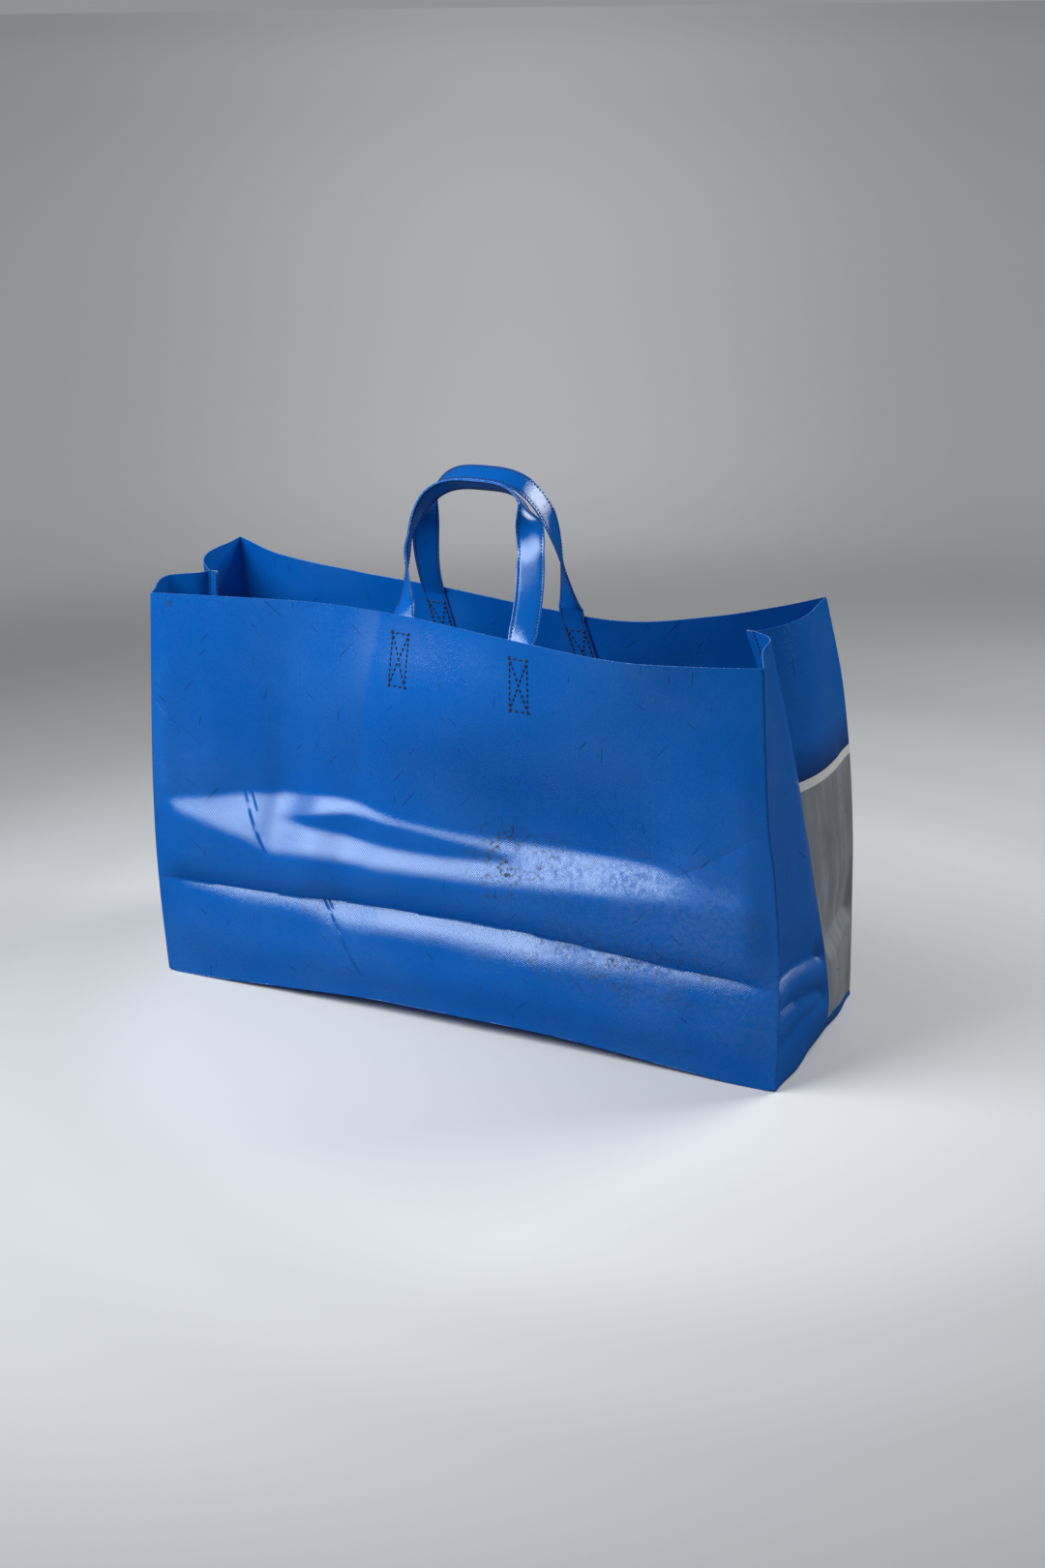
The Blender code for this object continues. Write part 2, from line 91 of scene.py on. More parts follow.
# Rims: (share of the width, how far the rim leans in) and (share of the width, how far it dips)
FRONT_RIM_LEAN = (
    (0.0, 0.0), (0.10, 0.012), (0.27, 0.027), (0.42, 0.021),
    (0.62, -0.004), (0.80, -0.018), (0.92, -0.008), (1.0, 0.0),
)
FRONT_RIM_DIP = ((0.0, 0.0), (0.42, 0.0), (0.62, 0.001), (0.80, 0.003), (0.92, 0.002), (1.0, 0.0))
BACK_RIM_LEAN = (
    (0.0, 0.0), (0.12, 0.038), (0.28, 0.055), (0.44, 0.064), (0.58, 0.074),
    (0.74, 0.076), (0.87, 0.056), (0.95, 0.030), (1.0, 0.0),
)
BACK_RIM_DIP = (
    (0.0, 0.0), (0.12, 0.002), (0.28, 0.005), (0.44, 0.008), (0.58, 0.012),
    (0.74, 0.016), (0.87, 0.009), (0.95, 0.003), (1.0, 0.0),
)
BACK_LEAN_POWER = 1.2

# Gussets: how far the rim end of the seam is folded in and moved forwards, and each half's bow
SEAM_FOLD = {-1: 0.015, 1: 0.055}
SEAM_FORWARD = {-1: 0.016, 1: 0.0125}
SEAM_FOLD_POWER = 2.3
GUSSET_BOW = {
    (-1, -1): (
        (0.0, 0.0), (0.15, 0.0045), (0.41, 0.0165), (0.66, 0.022), (0.78, 0.014), (0.88, 0.004), (1.0, 0.0),
    ),
    (1, -1): (
        (0.0, 0.0), (0.40, 0.001), (0.60, 0.005), (0.75, 0.0095), (0.83, 0.0105), (0.92, 0.008), (1.0, 0.0),
    ),
    (-1, 1): ((0.0, 0.0), (0.20, 0.005), (0.40, 0.013), (0.61, 0.0165), (0.80, 0.0125), (1.0, 0.0)),
    (1, 1): ((0.0, 0.0), (0.20, 0.004), (0.40, 0.0095), (0.62, 0.0125), (0.80, 0.0095), (1.0, 0.0)),
}
# The level crease goes on round the gussets: heights of its start, valley and end, and its depth
GUSSET_CREASE = (0.069, 0.084, 0.135)
GUSSET_CREASE_DEPTH = 0.0065
# How softly it goes in and comes out: 0 is straight and 1 is eased
GUSSET_CREASE_SOFTNESS = (0.3, 0.7)
# How much of the way in from the fold, and from the seam, a gusset's creases need to reach their depth
CREASE_ENDS = (0.12, 0.15)
FOLD_ENDS = (0.06, 0.10)
# One gusset half has slanting folds instead of the crease: valley line, share of the crease's
# depth, and reaches below and above the valley
GUSSET_FOLDS = {
    (1, -1): (
        (((0.0, 0.088), (0.4, 0.089), (1.0, 0.080)), 1.15, 0.010, 0.042),
        (((0.0, 0.060), (0.4, 0.061), (1.0, 0.050)), 0.90, 0.009, 0.014),
        (((0.0, 0.030), (0.4, 0.040), (1.0, 0.044)), 0.45, 0.008, 0.012),
    ),
}
# Each half's foot is rounded outwards at the ground: size, place and reach between fold and seam
FOOT_ROUND = 0.002
FOOT_ROUND_PLACE = 0.45
FOOT_ROUND_REACH = 0.40
# Height over which the foot's rounding and the back's crinkles change above the ground
GROUND_REACH = 0.05
# The gussets swell above the ground: size, and the height where they swell most
HIP_BULGE = 0.011
HIP_HEIGHT = 0.040

# Lower shoulder of the front, in metres from the left fold and up: it tilts in from its foot to
# the sharp valley, and the sheet comes out again above
CREASE_LINE = ((0.0, 0.089), (0.09, 0.088), (0.21, 0.090), (0.30, 0.091), (0.42, 0.088), (0.56, 0.086))
LOWER_FOOT = (
    (0.0, 0.088), (0.042, 0.082), (0.079, 0.078), (0.112, 0.077), (0.150, 0.076), (0.182, 0.070),
    (0.218, 0.072), (0.308, 0.071), (0.394, 0.071), (0.466, 0.075), (0.509, 0.078), (0.56, 0.084),
)
LOWER_TILT = 0.72
LOWER_SOFTNESS = 0.0095
# Above the valley: how far the sheet comes out again, over which height, and how early
RECOVERY = 0.011
RECOVERY_RISE = 0.036
RECOVERY_SPEED = 3.2
# Upper shoulder: its foot and its top, with a flat lens between two tilted bands
UPPER_FOOT = (
    (0.0, 0.161), (0.011, 0.161), (0.021, 0.155), (0.046, 0.148), (0.071, 0.141),
    (0.095, 0.135), (0.116, 0.127), (0.152, 0.130), (0.220, 0.127), (0.308, 0.130),
    (0.350, 0.134), (0.428, 0.141), (0.485, 0.147), (0.56, 0.150),
)
UPPER_TOP = (
    (0.0, 0.162), (0.011, 0.162), (0.019, 0.165), (0.051, 0.168), (0.080, 0.172),
    (0.117, 0.174), (0.180, 0.177), (0.229, 0.169), (0.305, 0.165), (0.389, 0.167),
    (0.452, 0.169), (0.514, 0.166), (0.56, 0.160),
)
LENS_FOOT = (
    (0.0, 0.1560), (0.108, 0.1560), (0.128, 0.1545), (0.152, 0.1515), (0.181, 0.1480), (0.219, 0.1450),
    (0.257, 0.1450), (0.290, 0.1468), (0.325, 0.1500), (0.345, 0.1515), (0.56, 0.1515),
)
LENS_TOP = (
    (0.0, 0.1560), (0.108, 0.1560), (0.128, 0.1578), (0.152, 0.1628), (0.181, 0.1665), (0.218, 0.1645),
    (0.256, 0.1620), (0.290, 0.1585), (0.325, 0.1540), (0.345, 0.1515), (0.56, 0.1515),
)
UPPER_TILT = ((0.0, 0.60), (0.09, 0.62), (0.16, 0.74), (0.30, 0.70), (0.56, 0.64))
LENS_TILT = 0.04
# How softly the sheet bends at the upper shoulder's foot, the lens's foot and top, and its own top
UPPER_SOFTNESS = (0.006, 0.0035, 0.0035, 0.004)
# Towards the right the upper tilt loses a share of itself, between two places along the front
UPPER_FADE = (0.45, 0.51)
UPPER_LOSS = 0.60
# Width beside each upright fold where the creases fade in
RELIEF_END = 0.030
# Powers of the grooves' sections, higher is sharper: the front's sharp creases, the slanting folds
CREASE_POWER = 1.5
FOLD_POWER = 1.3
# Sharp creases: (start, end, depth, half width), all along the front from its lower left corner
SHARP_CREASES = (
    ((0.080, 0.175), (0.115, 0.124), 0.0007, 0.0040),
    ((0.086, 0.178), (0.101, 0.156), 0.0003, 0.0025),
    ((0.156, 0.091), (0.178, 0.062), 0.0009, 0.0045),
    ((0.178, 0.062), (0.200, 0.020), 0.0009, 0.0060),
    ((0.161, 0.091), (0.172, 0.078), 0.0007, 0.0025),
    ((0.003, 0.254), (0.052, 0.206), 0.0010, 0.0080),
    ((0.556, 0.214), (0.470, 0.160), 0.0008, 0.0070),
    ((0.214, 0.345), (0.190, 0.195), 0.0012, 0.0160),
)
# Distances from a sharp crease's end between which it deepens
SHARP_FADE = (-0.004, 0.006)
# Grimy patches: (place, reach, strength)
STAINS = (
    ((0.322, 0.150), 0.040, 1.1), ((0.360, 0.153), 0.030, 0.7), ((0.018, 0.333), 0.005, 2.0),
    ((0.360, 0.082), 0.040, 0.5), ((0.420, 0.080), 0.045, 0.7), ((0.480, 0.080), 0.045, 0.5),
)
# Patches where the coating is worn rough: (place across and up, reach, strength)
WORN_PATCHES = (
    ((0.335, 0.148), 0.040, 0.6), ((0.385, 0.146), 0.050, 0.9), ((0.440, 0.143), 0.055, 1.6),
    ((0.495, 0.138), 0.055, 2.0), ((0.390, 0.084), 0.045, 1.0), ((0.450, 0.080), 0.050, 1.5),
    ((0.530, 0.074), 0.060, 0.9),
)
# Band rubbed dull: its foot, where it is full, left and right edges, and the extra roughness
RUBBED_BAND = (0.205, 0.310, 0.150, 0.197, 0.24)
# Finer creases, only in the surface: (start, end, depth, half width), placed as above
FINE_CREASES = (
    ((0.080, 0.176), (0.089, 0.161), 0.0005, 0.0012),
    ((0.088, 0.162), (0.100, 0.144), 0.0007, 0.0013),
    ((0.099, 0.146), (0.115, 0.123), 0.0007, 0.0013),
    ((0.086, 0.176), (0.099, 0.156), 0.0005, 0.0010),
    ((0.156, 0.092), (0.167, 0.079), 0.0006, 0.0012),
    ((0.166, 0.081), (0.179, 0.061), 0.0007, 0.0013),
    ((0.178, 0.062), (0.199, 0.020), 0.0010, 0.0016),
    ((0.160, 0.092), (0.170, 0.080), 0.0005, 0.0010),
    ((0.003, 0.252), (0.018, 0.235), 0.0004, 0.0014),
    ((0.017, 0.236), (0.050, 0.208), 0.0004, 0.0016),
    ((0.552, 0.212), (0.475, 0.164), 0.00015, 0.0014),
)
# Distance from a finer crease's end in which it deepens
CREASE_FADE = 0.006
# Distances between the weave's yarns, and short nicks: turn and scale of each direction
WEAVE_PITCH = (0.0024, 0.0018)
WEAVE_WANDER = 0.0012
NICKS = ((0.75, (420.0, 22.0, 1.0)), (-0.9, (380.0, 28.0, 1.0)), (0.1, (500.0, 35.0, 1.0)))
# Surfaces: least and most roughness, its grain, and depths of the weave, the skin and the scores
FINISHES = {
    "sheet": (0.14, 0.28, 0.26, 0.00006, 0.00022, 0.0006),
    "strap": (0.11, 0.16, 0.10, 0.00004, 0.00006, 0.00006),
}
LEAST_ROUGHNESS = 0.11
# Noise in the coating: scale, detail and, where it is given, roughness
CLOUDS = (9.0, 5.0, 0.6)
SKIN = (260.0, 6.0, 0.65)
MOTTLES = (190.0, 5.0, 0.7)
PEBBLES = (620.0, 2.0)
DIRT_PATCHES = (75.0, 4.0)
DIRT_SPOTS = (330.0, 3.0)
# Drawn-out noise: scales along both directions; the streaks are turned too, in radians
STREAKS = (60.0, 9.0, 1.0)
STREAK_TURN = 0.6
RIPPLES = (150.0, 45.0, 1.0)
# Depths of the pebbles and the ripples, the scores' strength, and what print and dirt add in roughness
PEBBLE_DEPTH = 0.00008
RIPPLE_DEPTH = 0.00012
SCORE_STRENGTH = 0.35
PRINT_ROUGHNESS = 0.30
DIRT_ROUGHNESS = 0.35
# Brightness of the worn field's scuffs and clouds, as shares of its grey
SCUFFED = 1.7
CLOUDED = 0.6
SHINE = 0.8
SHINE_TINT = (0.80, 0.92, 1.0)
# The front also swells between the shoulders and the handles: size, place, height and reaches
CHEST_BULGE = 0.014
CHEST_ACROSS = 0.53
CHEST_HEIGHT = 0.268
CHEST_REACH = (0.36, 0.09)
# It swells a little below the lower shoulder's foot too
FOOT_BULGE = 0.004
# The front's rim lean starts above the upper shoulder; the back has one shoulder: start, crease, end
SHOULDER_TOP = 0.170
BACK_SHOULDER_DEPTH = 0.008
BACK_SHOULDER = (0.070, 0.089, 0.170)
BACK_SHOULDER_SOFTNESS = 0.4

# Front edge of the bottom: it arches off the ground between the corners; its height, the share of
# the width in which it rises, and how far the arch reaches up the front and back into the bottom
FRONT_LIFT = 0.011
LIFT_SPREAD = 0.4
LIFT_REACH = 0.10
LIFT_DEPTH = 0.060

# Seam: height where it leaves the gusset, height at the back, and curl of the turned-in edges
SEAM_FOOT = 0.023
SEAM_TAIL = 0.004
SEAM_CURL = 0.0006

# Strap arches: places of the feet from the panel's middle, rise over the rim, place of the top (x, y),
# half span, squareness, how late the left and the right leg turn edge-on, and their small early turn
HANDLES = {
    "front": {
        "feet": (-0.0442, 0.0750),
        "rise": 0.098,
        "top": (0.0005, -0.029),
        "half_span": 0.058,
        "squareness": 3.4,
        "twist": (0.6, 5.0),
        "turn": (0.30, 0.36),
    },
    "back": {
        "feet": (-0.0487, 0.0868),
        "rise": 0.103,
        "top": (-0.007, -0.010),
        "half_span": 0.064,
        "squareness": 3.0,
        "twist": (2.0, 0.6),
        "turn": (0.0, 0.0),
    },
}
# A strap leaves its panel this far under the rim, then turns between two heights, and gathers
# towards the arch over this share of the rise
STRAP_RELEASE = 0.006
STRAP_TWIST_START = 0.013
STRAP_TWIST_RISE = 0.080
STRAP_GATHER = 0.6
# Some legs turn a little between these shares of the rise: start, full, going, gone
LEG_TURN = (0.0, 0.12, 0.46, 0.62)
# The legs lean unevenly: how unevenly, and the share of the rise where they lean least
LEG_BOW = 0.35
LEG_PHASE = 0.68
# Share of each stitch where the thread is under the sheet
STITCH_GAP = 0.45
# Height of a thread's middle in radii, at the boxes, and in the straps' grooves and on the seam;
# and the place of the seam's stitches as a share of the turned-in edge
THREAD_LIFT = 0.3
GROOVE_LIFT = 0.35
SEAM_ROW = 0.25

# Lamps: name, azimuth and elevation in degrees, distance, size, power, colour
LAMPS = (
    ("front_softbox", -36.0, 44.0, 1.12, (0.86, 0.82), 16.5, (0.93, 0.97, 1.0)),
    ("right_softbox", 135.0, 36.0, 2.0, (1.0, 1.0), 26.0, (1.0, 1.0, 1.0)),
)
LAMP_TARGET = (0.0, 0.0, 0.15)
# Colour and strength of the light from all round, and of what glossy surfaces see of it
WORLD_LIGHT = (((0.93, 0.95, 1.0), 0.115), ((0.9, 0.95, 1.0), 0.02))
# Stage, seen along the camera's direction: a pool of light painted into the floor's colour, and a brighter
# fan of painted light on the glowing grey distance; levels are (share of the reach, brightness)
FLOOR_RADIUS = 90.0
FLOOR_DROP = 0.0002
POOL_PLACE = (0.14, -0.02, 0.0)
POOL_REACH = 2.0
POOL_LEVELS = (
    (0.0, 1.34), (0.12, 1.32), (0.20, 1.24), (0.27, 1.04), (0.32, 0.94), (0.45, 0.76), (0.90, 0.50),
)
# The fan of painted light on the grey distance: how far in front of the bag it starts, its spread per
# distance, how much brighter it is
FAN_BACK = 1.703
FAN_SPREAD = 0.24
FAN_GAIN = 0.45
# Distances from the pool between which the floor turns to the grey distance, a glow with painted brightness,
# and that one's reach
GLOW_RANGE = (0.95, 1.7)
FAR_REACH = 60.0
FAR_LEVELS = ((0.0, 0.90), (0.22, 0.90), (0.27, 1.02), (0.36, 1.0), (0.60, 0.90), (1.0, 0.80))

# Fineness of the meshes: row marks with the spacing up to each, in metres
ROW_MARKS = (
    (SEAM_FOOT, 0.0029), (0.068, 0.0034), (0.083, 0.0018), (0.095, 0.0012), (0.103, 0.0020),
    (0.122, 0.0032), (0.180, 0.0024),
)
ROW_SPACING = 0.0034
COLUMN_SPACING = 0.0034
FOLD_SPACING = 0.0015
FOLD_STEPS = 6
FOLD_RADIUS = 0.0045
SOFTEN_ROUNDS = 4
# Angles in degrees from which an edge is sharp
SHEET_SHARP = 55
STRAP_SHARP = 50
STRAP_STEPS = 190
BOX_STEPS = 24
EDGE_STEPS = 5
FOOT_STEPS = 22
ARCH_SAMPLES = 4000
SLOPE_STEP = 0.002
NEAR = 0.00002
CRINKLE_SEED = 7
CRINKLE_WAVES = 14
CRINKLE_LENGTHS = (0.050, 0.150)


def length(name, description, default):
    return bpy.props.FloatProperty(name=name, description=description, default=default, unit="LENGTH")


def colour(name, description, default):
    return bpy.props.FloatVectorProperty(
        name=name, description=description, default=default, subtype="COLOR", size=3, min=0.0, max=1.0)


class BagSizes(bpy.types.PropertyGroup):
    """Sizes of the cut sheets, the straps and the sewing."""

    width: length("Width", "Width of the flat bottom", 0.560)
    depth: length("Depth", "Depth of the flat bottom", 0.192)
    height: length("Height", "Height of the sheet up to the rim", 0.342)
    sheet: length("Sheet", "Thickness of the tarpaulin", 0.0008)
    crinkle: length("Crinkle", "Size of the faint waves in the sheets", 0.00055)
    seam_edge: length("Seam Edge", "Width of the turned-in edge", 0.008)
    seam_gap: length("Seam Gap", "Space between the two turned-in edges", 0.0007)
    strap_width: length("Strap Width", "Width of a strap", 0.022)
    strap_thickness: length("Strap Thickness", "Thickness of a strap's two layers", 0.0017)
    strap_foot: length("Strap Foot", "Length of strap inside the bag", 0.064)
    strap_gap: length("Strap Gap", "Space between a strap and its panel", 0.0003)
    box_width: length("Box Width", "Width of the sewn box", 0.0165)
    box_height: length("Box Height", "Height of the sewn box", 0.0415)
    box_drop: length("Box Drop", "From the rim down to the sewn box", 0.014)
    stitch: length("Stitch", "Length of a stitch", 0.0030)
    box_stitch: length("Box Stitch", "Length of a stitch of the sewn boxes", 0.0042)
    thread: length("Thread", "Radius of the sewing thread", 0.0005)
    box_thread: length("Box Thread", "Radius of the thread of the sewn boxes", 0.0007)
    row_inset: length("Row Inset", "From a strap's edge to its stitch row", 0.0021)
    row_groove: length("Row Groove", "How deep a stitch row is drawn in", 0.00022)
    band_top: length("Band Top", "Height of the white band's upper edge", 0.222)
    band_width: length("Band Width", "Width of the white band", 0.0075)


class BagColours(bpy.types.PropertyGroup):
    """Colours of the tarpaulin, the thread and the stage."""

    blue: colour("Blue", "The tarpaulin's blue", (0.001, 0.100, 0.420))
    faded: colour("Faded Blue", "Blue where the coating is rubbed", (0.008, 0.115, 0.430))
    shade: colour("Shade Blue", "Printed dark edge above the white band", (0.004, 0.020, 0.090))
    white: colour("White", "The band on the back sheet", (0.560, 0.560, 0.540))
    grey: colour("Grey", "The worn field on the back sheet", (0.172, 0.183, 0.203))
    dirt: colour("Dirt", "Dust and grime in the weave", (0.006, 0.022, 0.055))
    cut: colour("Cut Edge", "The cut edges of the sheet", (0.015, 0.140, 0.480))
    yarn: colour("Yarn", "Ends of the white yarn at the cut edges", (0.550, 0.600, 0.700))
    thread: colour("Thread", "The sewing thread", (0.006, 0.010, 0.030))
    floor: colour("Floor", "The pale floor round the bag", (0.560, 0.562, 0.568))
    backdrop: colour("Backdrop", "The grey distance", (0.285, 0.288, 0.300))


def mix(start, end, share):
    return start + (end - start) * share


def ease(value, start, end):
    """Rise smoothly from 0 at start to 1 at end."""
    share = np.clip((value - start) / (end - start), 0.0, 1.0)
    return share * share * (3.0 - 2.0 * share)


def slope_up(value, start, end, softness):
    """Rise from 0 at start to 1 at end: straight at softness 0, eased at 1."""
    share = np.clip((value - start) / (end - start), 0.0, 1.0)
    return mix(share, ease(share, 0.0, 1.0), softness)


def bend(distance, softness):
    """A kinked line, 0 before the kink and distance after it, rounded over softness both ways."""
    inside = (distance + softness) ** 2 / (4 * softness)
    return np.where(distance < -softness, 0.0, np.where(distance > softness, distance, inside))


def lobe(distance, reach):
    """A smooth bump: 1 in the middle and 0 from reach outwards."""
    return 0.5 + 0.5 * np.cos(np.pi * np.minimum(np.abs(distance) / reach, 1.0))


def through(keys, place):
    """Read (place, size) keys as a smooth curve."""
    places, sizes = np.array(keys, float).T
    slopes = np.diff(sizes) / np.diff(places)
    middle = (sizes[2:] - sizes[:-2]) / (places[2:] - places[:-2])
    slopes = np.concatenate([slopes[:1], middle, slopes[-1:]])
    place = np.clip(place, places[0], places[-1])
    i = np.clip(np.searchsorted(places, place, side="left") - 1, 0, len(places) - 2)
    span = places[i + 1] - places[i]
    t = (place - places[i]) / span
    return (
        sizes[i] * (2 * t**3 - 3 * t**2 + 1) + slopes[i] * span * (t**3 - 2 * t**2 + t)
        + sizes[i + 1] * (3 * t**2 - 2 * t**3) + slopes[i + 1] * span * (t**3 - t**2)
    )


def unit(vectors):
    return vectors / np.maximum(np.linalg.norm(vectors, axis=-1, keepdims=True), 1e-12)


def points(x, y, z):
    """Stack coordinates as points, with shared shapes."""
    return np.stack(np.broadcast_arrays(x, y, z), axis=-1).astype(float)


class Bag:
    """The outer faces of both sheets as the bag stands, for arrays of places on them."""

    def __init__(self, sizes):
        for name in BagSizes.__annotations__:
            setattr(self, name, getattr(sizes, name))
        draw = np.random.default_rng(CRINKLE_SEED)
        turns = draw.uniform(0, 2 * np.pi, CRINKLE_WAVES)
        lengths = draw.uniform(*CRINKLE_LENGTHS, CRINKLE_WAVES)
        self.waves = np.stack([np.cos(turns) / lengths, np.sin(turns) / lengths], axis=1) * 2 * np.pi
        self.phases = draw.uniform(0, 2 * np.pi, CRINKLE_WAVES)

    def crinkles(self, u, v):
        """Faint waves of the sheet at flat coordinates."""
        waves = zip(self.waves, self.phases)
        total = sum(np.sin(across * u + up * v + phase) for (across, up), phase in waves)
        return self.crinkle * total / math.sqrt(CRINKLE_WAVES)

    def corner(self, side, half, rise):
        """A point on an upright fold at a height up the sheet."""
        share = rise / self.height
        x = side * self.width / 2 + through(CORNER_SWAY[side, half], share)
        return points(x, half * self.depth / 2 + CORNER_RIM_SHIFT[side, half] * share, rise)

    def seam_middle(self, side, rise):
        """A point where a gusset's halves meet."""
        share = rise / self.height
        x = side * (self.width / 2 - SEAM_FOLD[side] * share**SEAM_FOLD_POWER)
        return points(x, -SEAM_FORWARD[side] * share, rise)

    def sharp_creases(self, x, z):
        """Narrow grooves along straight lines, which fade towards their ends."""
        total = 0.0
        for start, end, depth, half_width in SHARP_CREASES:
            run = np.array(end) - np.array(start)
            size = float(np.hypot(*run))
            along = ((x - start[0]) * run[0] + (z - start[1]) * run[1]) / size
            beside = np.abs((x - start[0]) * run[1] - (z - start[1]) * run[0]) / size
            ends = ease(along, *SHARP_FADE) * ease(size - along, *SHARP_FADE)
            total = total + depth * ends * np.maximum(1.0 - beside / half_width, 0.0) ** CREASE_POWER
        return total

    def away_from_folds(self, across):
        """1 on a panel, and 0 at its upright folds."""
        x = across * self.width
        return ease(x, 0.0, RELIEF_END) * ease(self.width - x, 0.0, RELIEF_END)

    def front_relief(self, across, rise):
        """How far the creases and swellings push the front inwards."""
        x = across * self.width
        crease, foot = through(CREASE_LINE, x), through(LOWER_FOOT, x)
        inward = LOWER_TILT * bend(np.minimum(rise, crease) - foot, LOWER_SOFTNESS)
        back = np.clip((rise - crease) / RECOVERY_RISE, 0.0, 1.0)
        inward = inward - RECOVERY * (1.0 - (1.0 - back) ** RECOVERY_SPEED)
        tilt = through(UPPER_TILT, x) * (1.0 - UPPER_LOSS * ease(x, *UPPER_FADE))
        turns = (tilt, LENS_TILT - tilt, tilt - LENS_TILT, -tilt)
        for line, turn, softness in zip((UPPER_FOOT, LENS_FOOT, LENS_TOP, UPPER_TOP), turns, UPPER_SOFTNESS):
            inward = inward + turn * bend(rise - through(line, x), softness)
        chest = lobe(across - CHEST_ACROSS, CHEST_REACH[0]) * lobe(rise - CHEST_HEIGHT, CHEST_REACH[1])
        belly = lobe(rise - foot / 2, foot / 2)
        return self.away_from_folds(across) * (inward - FOOT_BULGE * belly) - CHEST_BULGE * chest

    def panel(self, half, across, rise, inward, z):
        """Points between a panel's two folds, moved into the bag."""
        left, right = self.corner(-1, half, rise), self.corner(1, half, rise)
        y = mix(left[..., 1], right[..., 1], across) - half * inward
        return points(mix(left[..., 0], right[..., 0], across), y, z)

    def front_wall(self, across, rise):
        """The front panel's outer face."""
        x = across * self.width
        share = rise / self.height
        above = np.maximum(rise - SHOULDER_TOP, 0.0) / (self.height - SHOULDER_TOP)
        small = self.sharp_creases(x, rise) + self.crinkles(x, rise) * (1.0 - above**2)
        inward = self.front_relief(across, rise)
        inward = inward + (through(FRONT_RIM_LEAN, across) - self.front_relief(across, self.height)) * above
        inward = inward + self.away_from_folds(across) * small
        lift = FRONT_LIFT * ease(np.minimum(across, 1.0 - across), 0.0, LIFT_SPREAD)
        z = rise + lift * (1.0 - ease(rise, 0.0, LIFT_REACH)) - through(FRONT_RIM_DIP, across) * share
        return self.panel(-1, across, rise, inward, z)

    def back_wall(self, across, rise):
        """The back panel's outer face."""
        share = rise / self.height
        ends = self.away_from_folds(across)
        start, crease, stop = BACK_SHOULDER
        fold = slope_up(rise, start, crease, BACK_SHOULDER_SOFTNESS) - ease(rise, crease, stop)
        inward = through(BACK_RIM_LEAN, across) * share**BACK_LEAN_POWER + BACK_SHOULDER_DEPTH * ends * fold
        small = self.crinkles(across * self.width + self.width, rise)
        inward = inward + ends * small * ease(rise, 0.0, GROUND_REACH)
        return self.panel(1, across, rise, inward, rise - through(BACK_RIM_DIP, across) * share)

    def gusset_wall(self, side, half, inwards, rise):
        """Half of a gusset's outer face, from its fold to the seam."""
        inwards = np.asarray(inwards, float)
        point = mix(self.corner(side, half, rise), self.seam_middle(side, rise), inwards[..., None])
        bow = through(GUSSET_BOW[side, half], inwards) * (rise / self.height) ** 2
        hip = HIP_BULGE * (rise / HIP_HEIGHT) * np.exp(1.0 - rise / HIP_HEIGHT)
        if (side, half) in GUSSET_FOLDS:
            crease, fades = 0.0, FOLD_ENDS
            for line, depth, below, above in GUSSET_FOLDS[side, half]:
                away = rise - through(line, inwards)
                reach = np.where(away < 0, below, above)
                crease = crease + depth * np.maximum(1.0 - np.abs(away) / reach, 0.0) ** FOLD_POWER
        else:
            (start, valley, stop), (soft_in, soft_out) = GUSSET_CREASE, GUSSET_CREASE_SOFTNESS
            crease = slope_up(rise, start, valley, soft_in) - slope_up(rise, valley, stop, soft_out)
            fades = CREASE_ENDS
        middle = ease(inwards, 0.0, fades[0]) * ease(1.0 - inwards, 0.0, fades[1])
        foot = FOOT_ROUND * lobe(inwards - FOOT_ROUND_PLACE, FOOT_ROUND_REACH)
        foot = foot * (1.0 - ease(rise, 0.0, GROUND_REACH))
        small = self.crinkles(side + inwards * self.depth / 2, rise) * np.sin(np.pi * inwards)
        swell = hip * np.sin(np.pi * inwards / 2) ** 2
        point[..., 0] += side * (bow + swell - GUSSET_CREASE_DEPTH * middle * crease + foot + small)
        return point

    def floor_point(self, across, back):
        """The bottom's outer face: across runs left to right, back runs front to back."""
        half = -1 if back <= 0.5 else 1
        inwards = 2 * back if half < 0 else 2 - 2 * back
        left, right = self.gusset_wall(-1, half, inwards, 0.0), self.gusset_wall(1, half, inwards, 0.0)
        point = mix(left, right, across[..., None])
        lift = self.front_wall(across, 0.0 * across)[..., 2]
        point[..., 2] = lift * (1.0 - ease(back * self.depth, 0.0, LIFT_DEPTH))
        return point

    def half_ring(self, half, place, rise):
        """A half ring's outer face: gusset half, panel, gusset half; place runs 0 to 3."""
        place, rise = np.broadcast_arrays(np.asarray(place, float), np.asarray(rise, float))
        panel = self.front_wall if half < 0 else self.back_wall
        out = panel(np.clip(place - 1.0 if half < 0 else 2.0 - place, 0.0, 1.0), rise)
        gussets = ((half, place < 1.0, 1.0 - place), (-half, place > 2.0, place - 2.0))
        for side, inside, inwards in gussets:
            if inside.any():
                out[inside] = self.gusset_wall(side, half, inwards[inside], rise[inside])
        return out


def graded(size, fine_at_end=True):
    """Shares 0 to 1 along a length: close together at its start, and at its end if asked."""
    fine = [FOLD_SPACING * i for i in range(FOLD_STEPS)]
    reach = FOLD_SPACING * FOLD_STEPS
    stop = size - reach if fine_at_end else size
    count = max(round((stop - reach) / COLUMN_SPACING), 1)
    places = fine + [mix(reach, stop, i / count) for i in range(count + 1)]
    if fine_at_end:
        places += [size - value for value in reversed(fine)]
    return np.array(places) / size


def row_levels(height):
    """Heights of the mesh rows: close together over the creases."""
    levels = [0.0]
    for mark, spacing in (*ROW_MARKS, (height, ROW_SPACING)):
        count = max(round((mark - levels[-1]) / spacing), 1)
        levels += [mix(levels[-1], mark, (i + 1) / count) for i in range(count)]
    return np.array(levels)


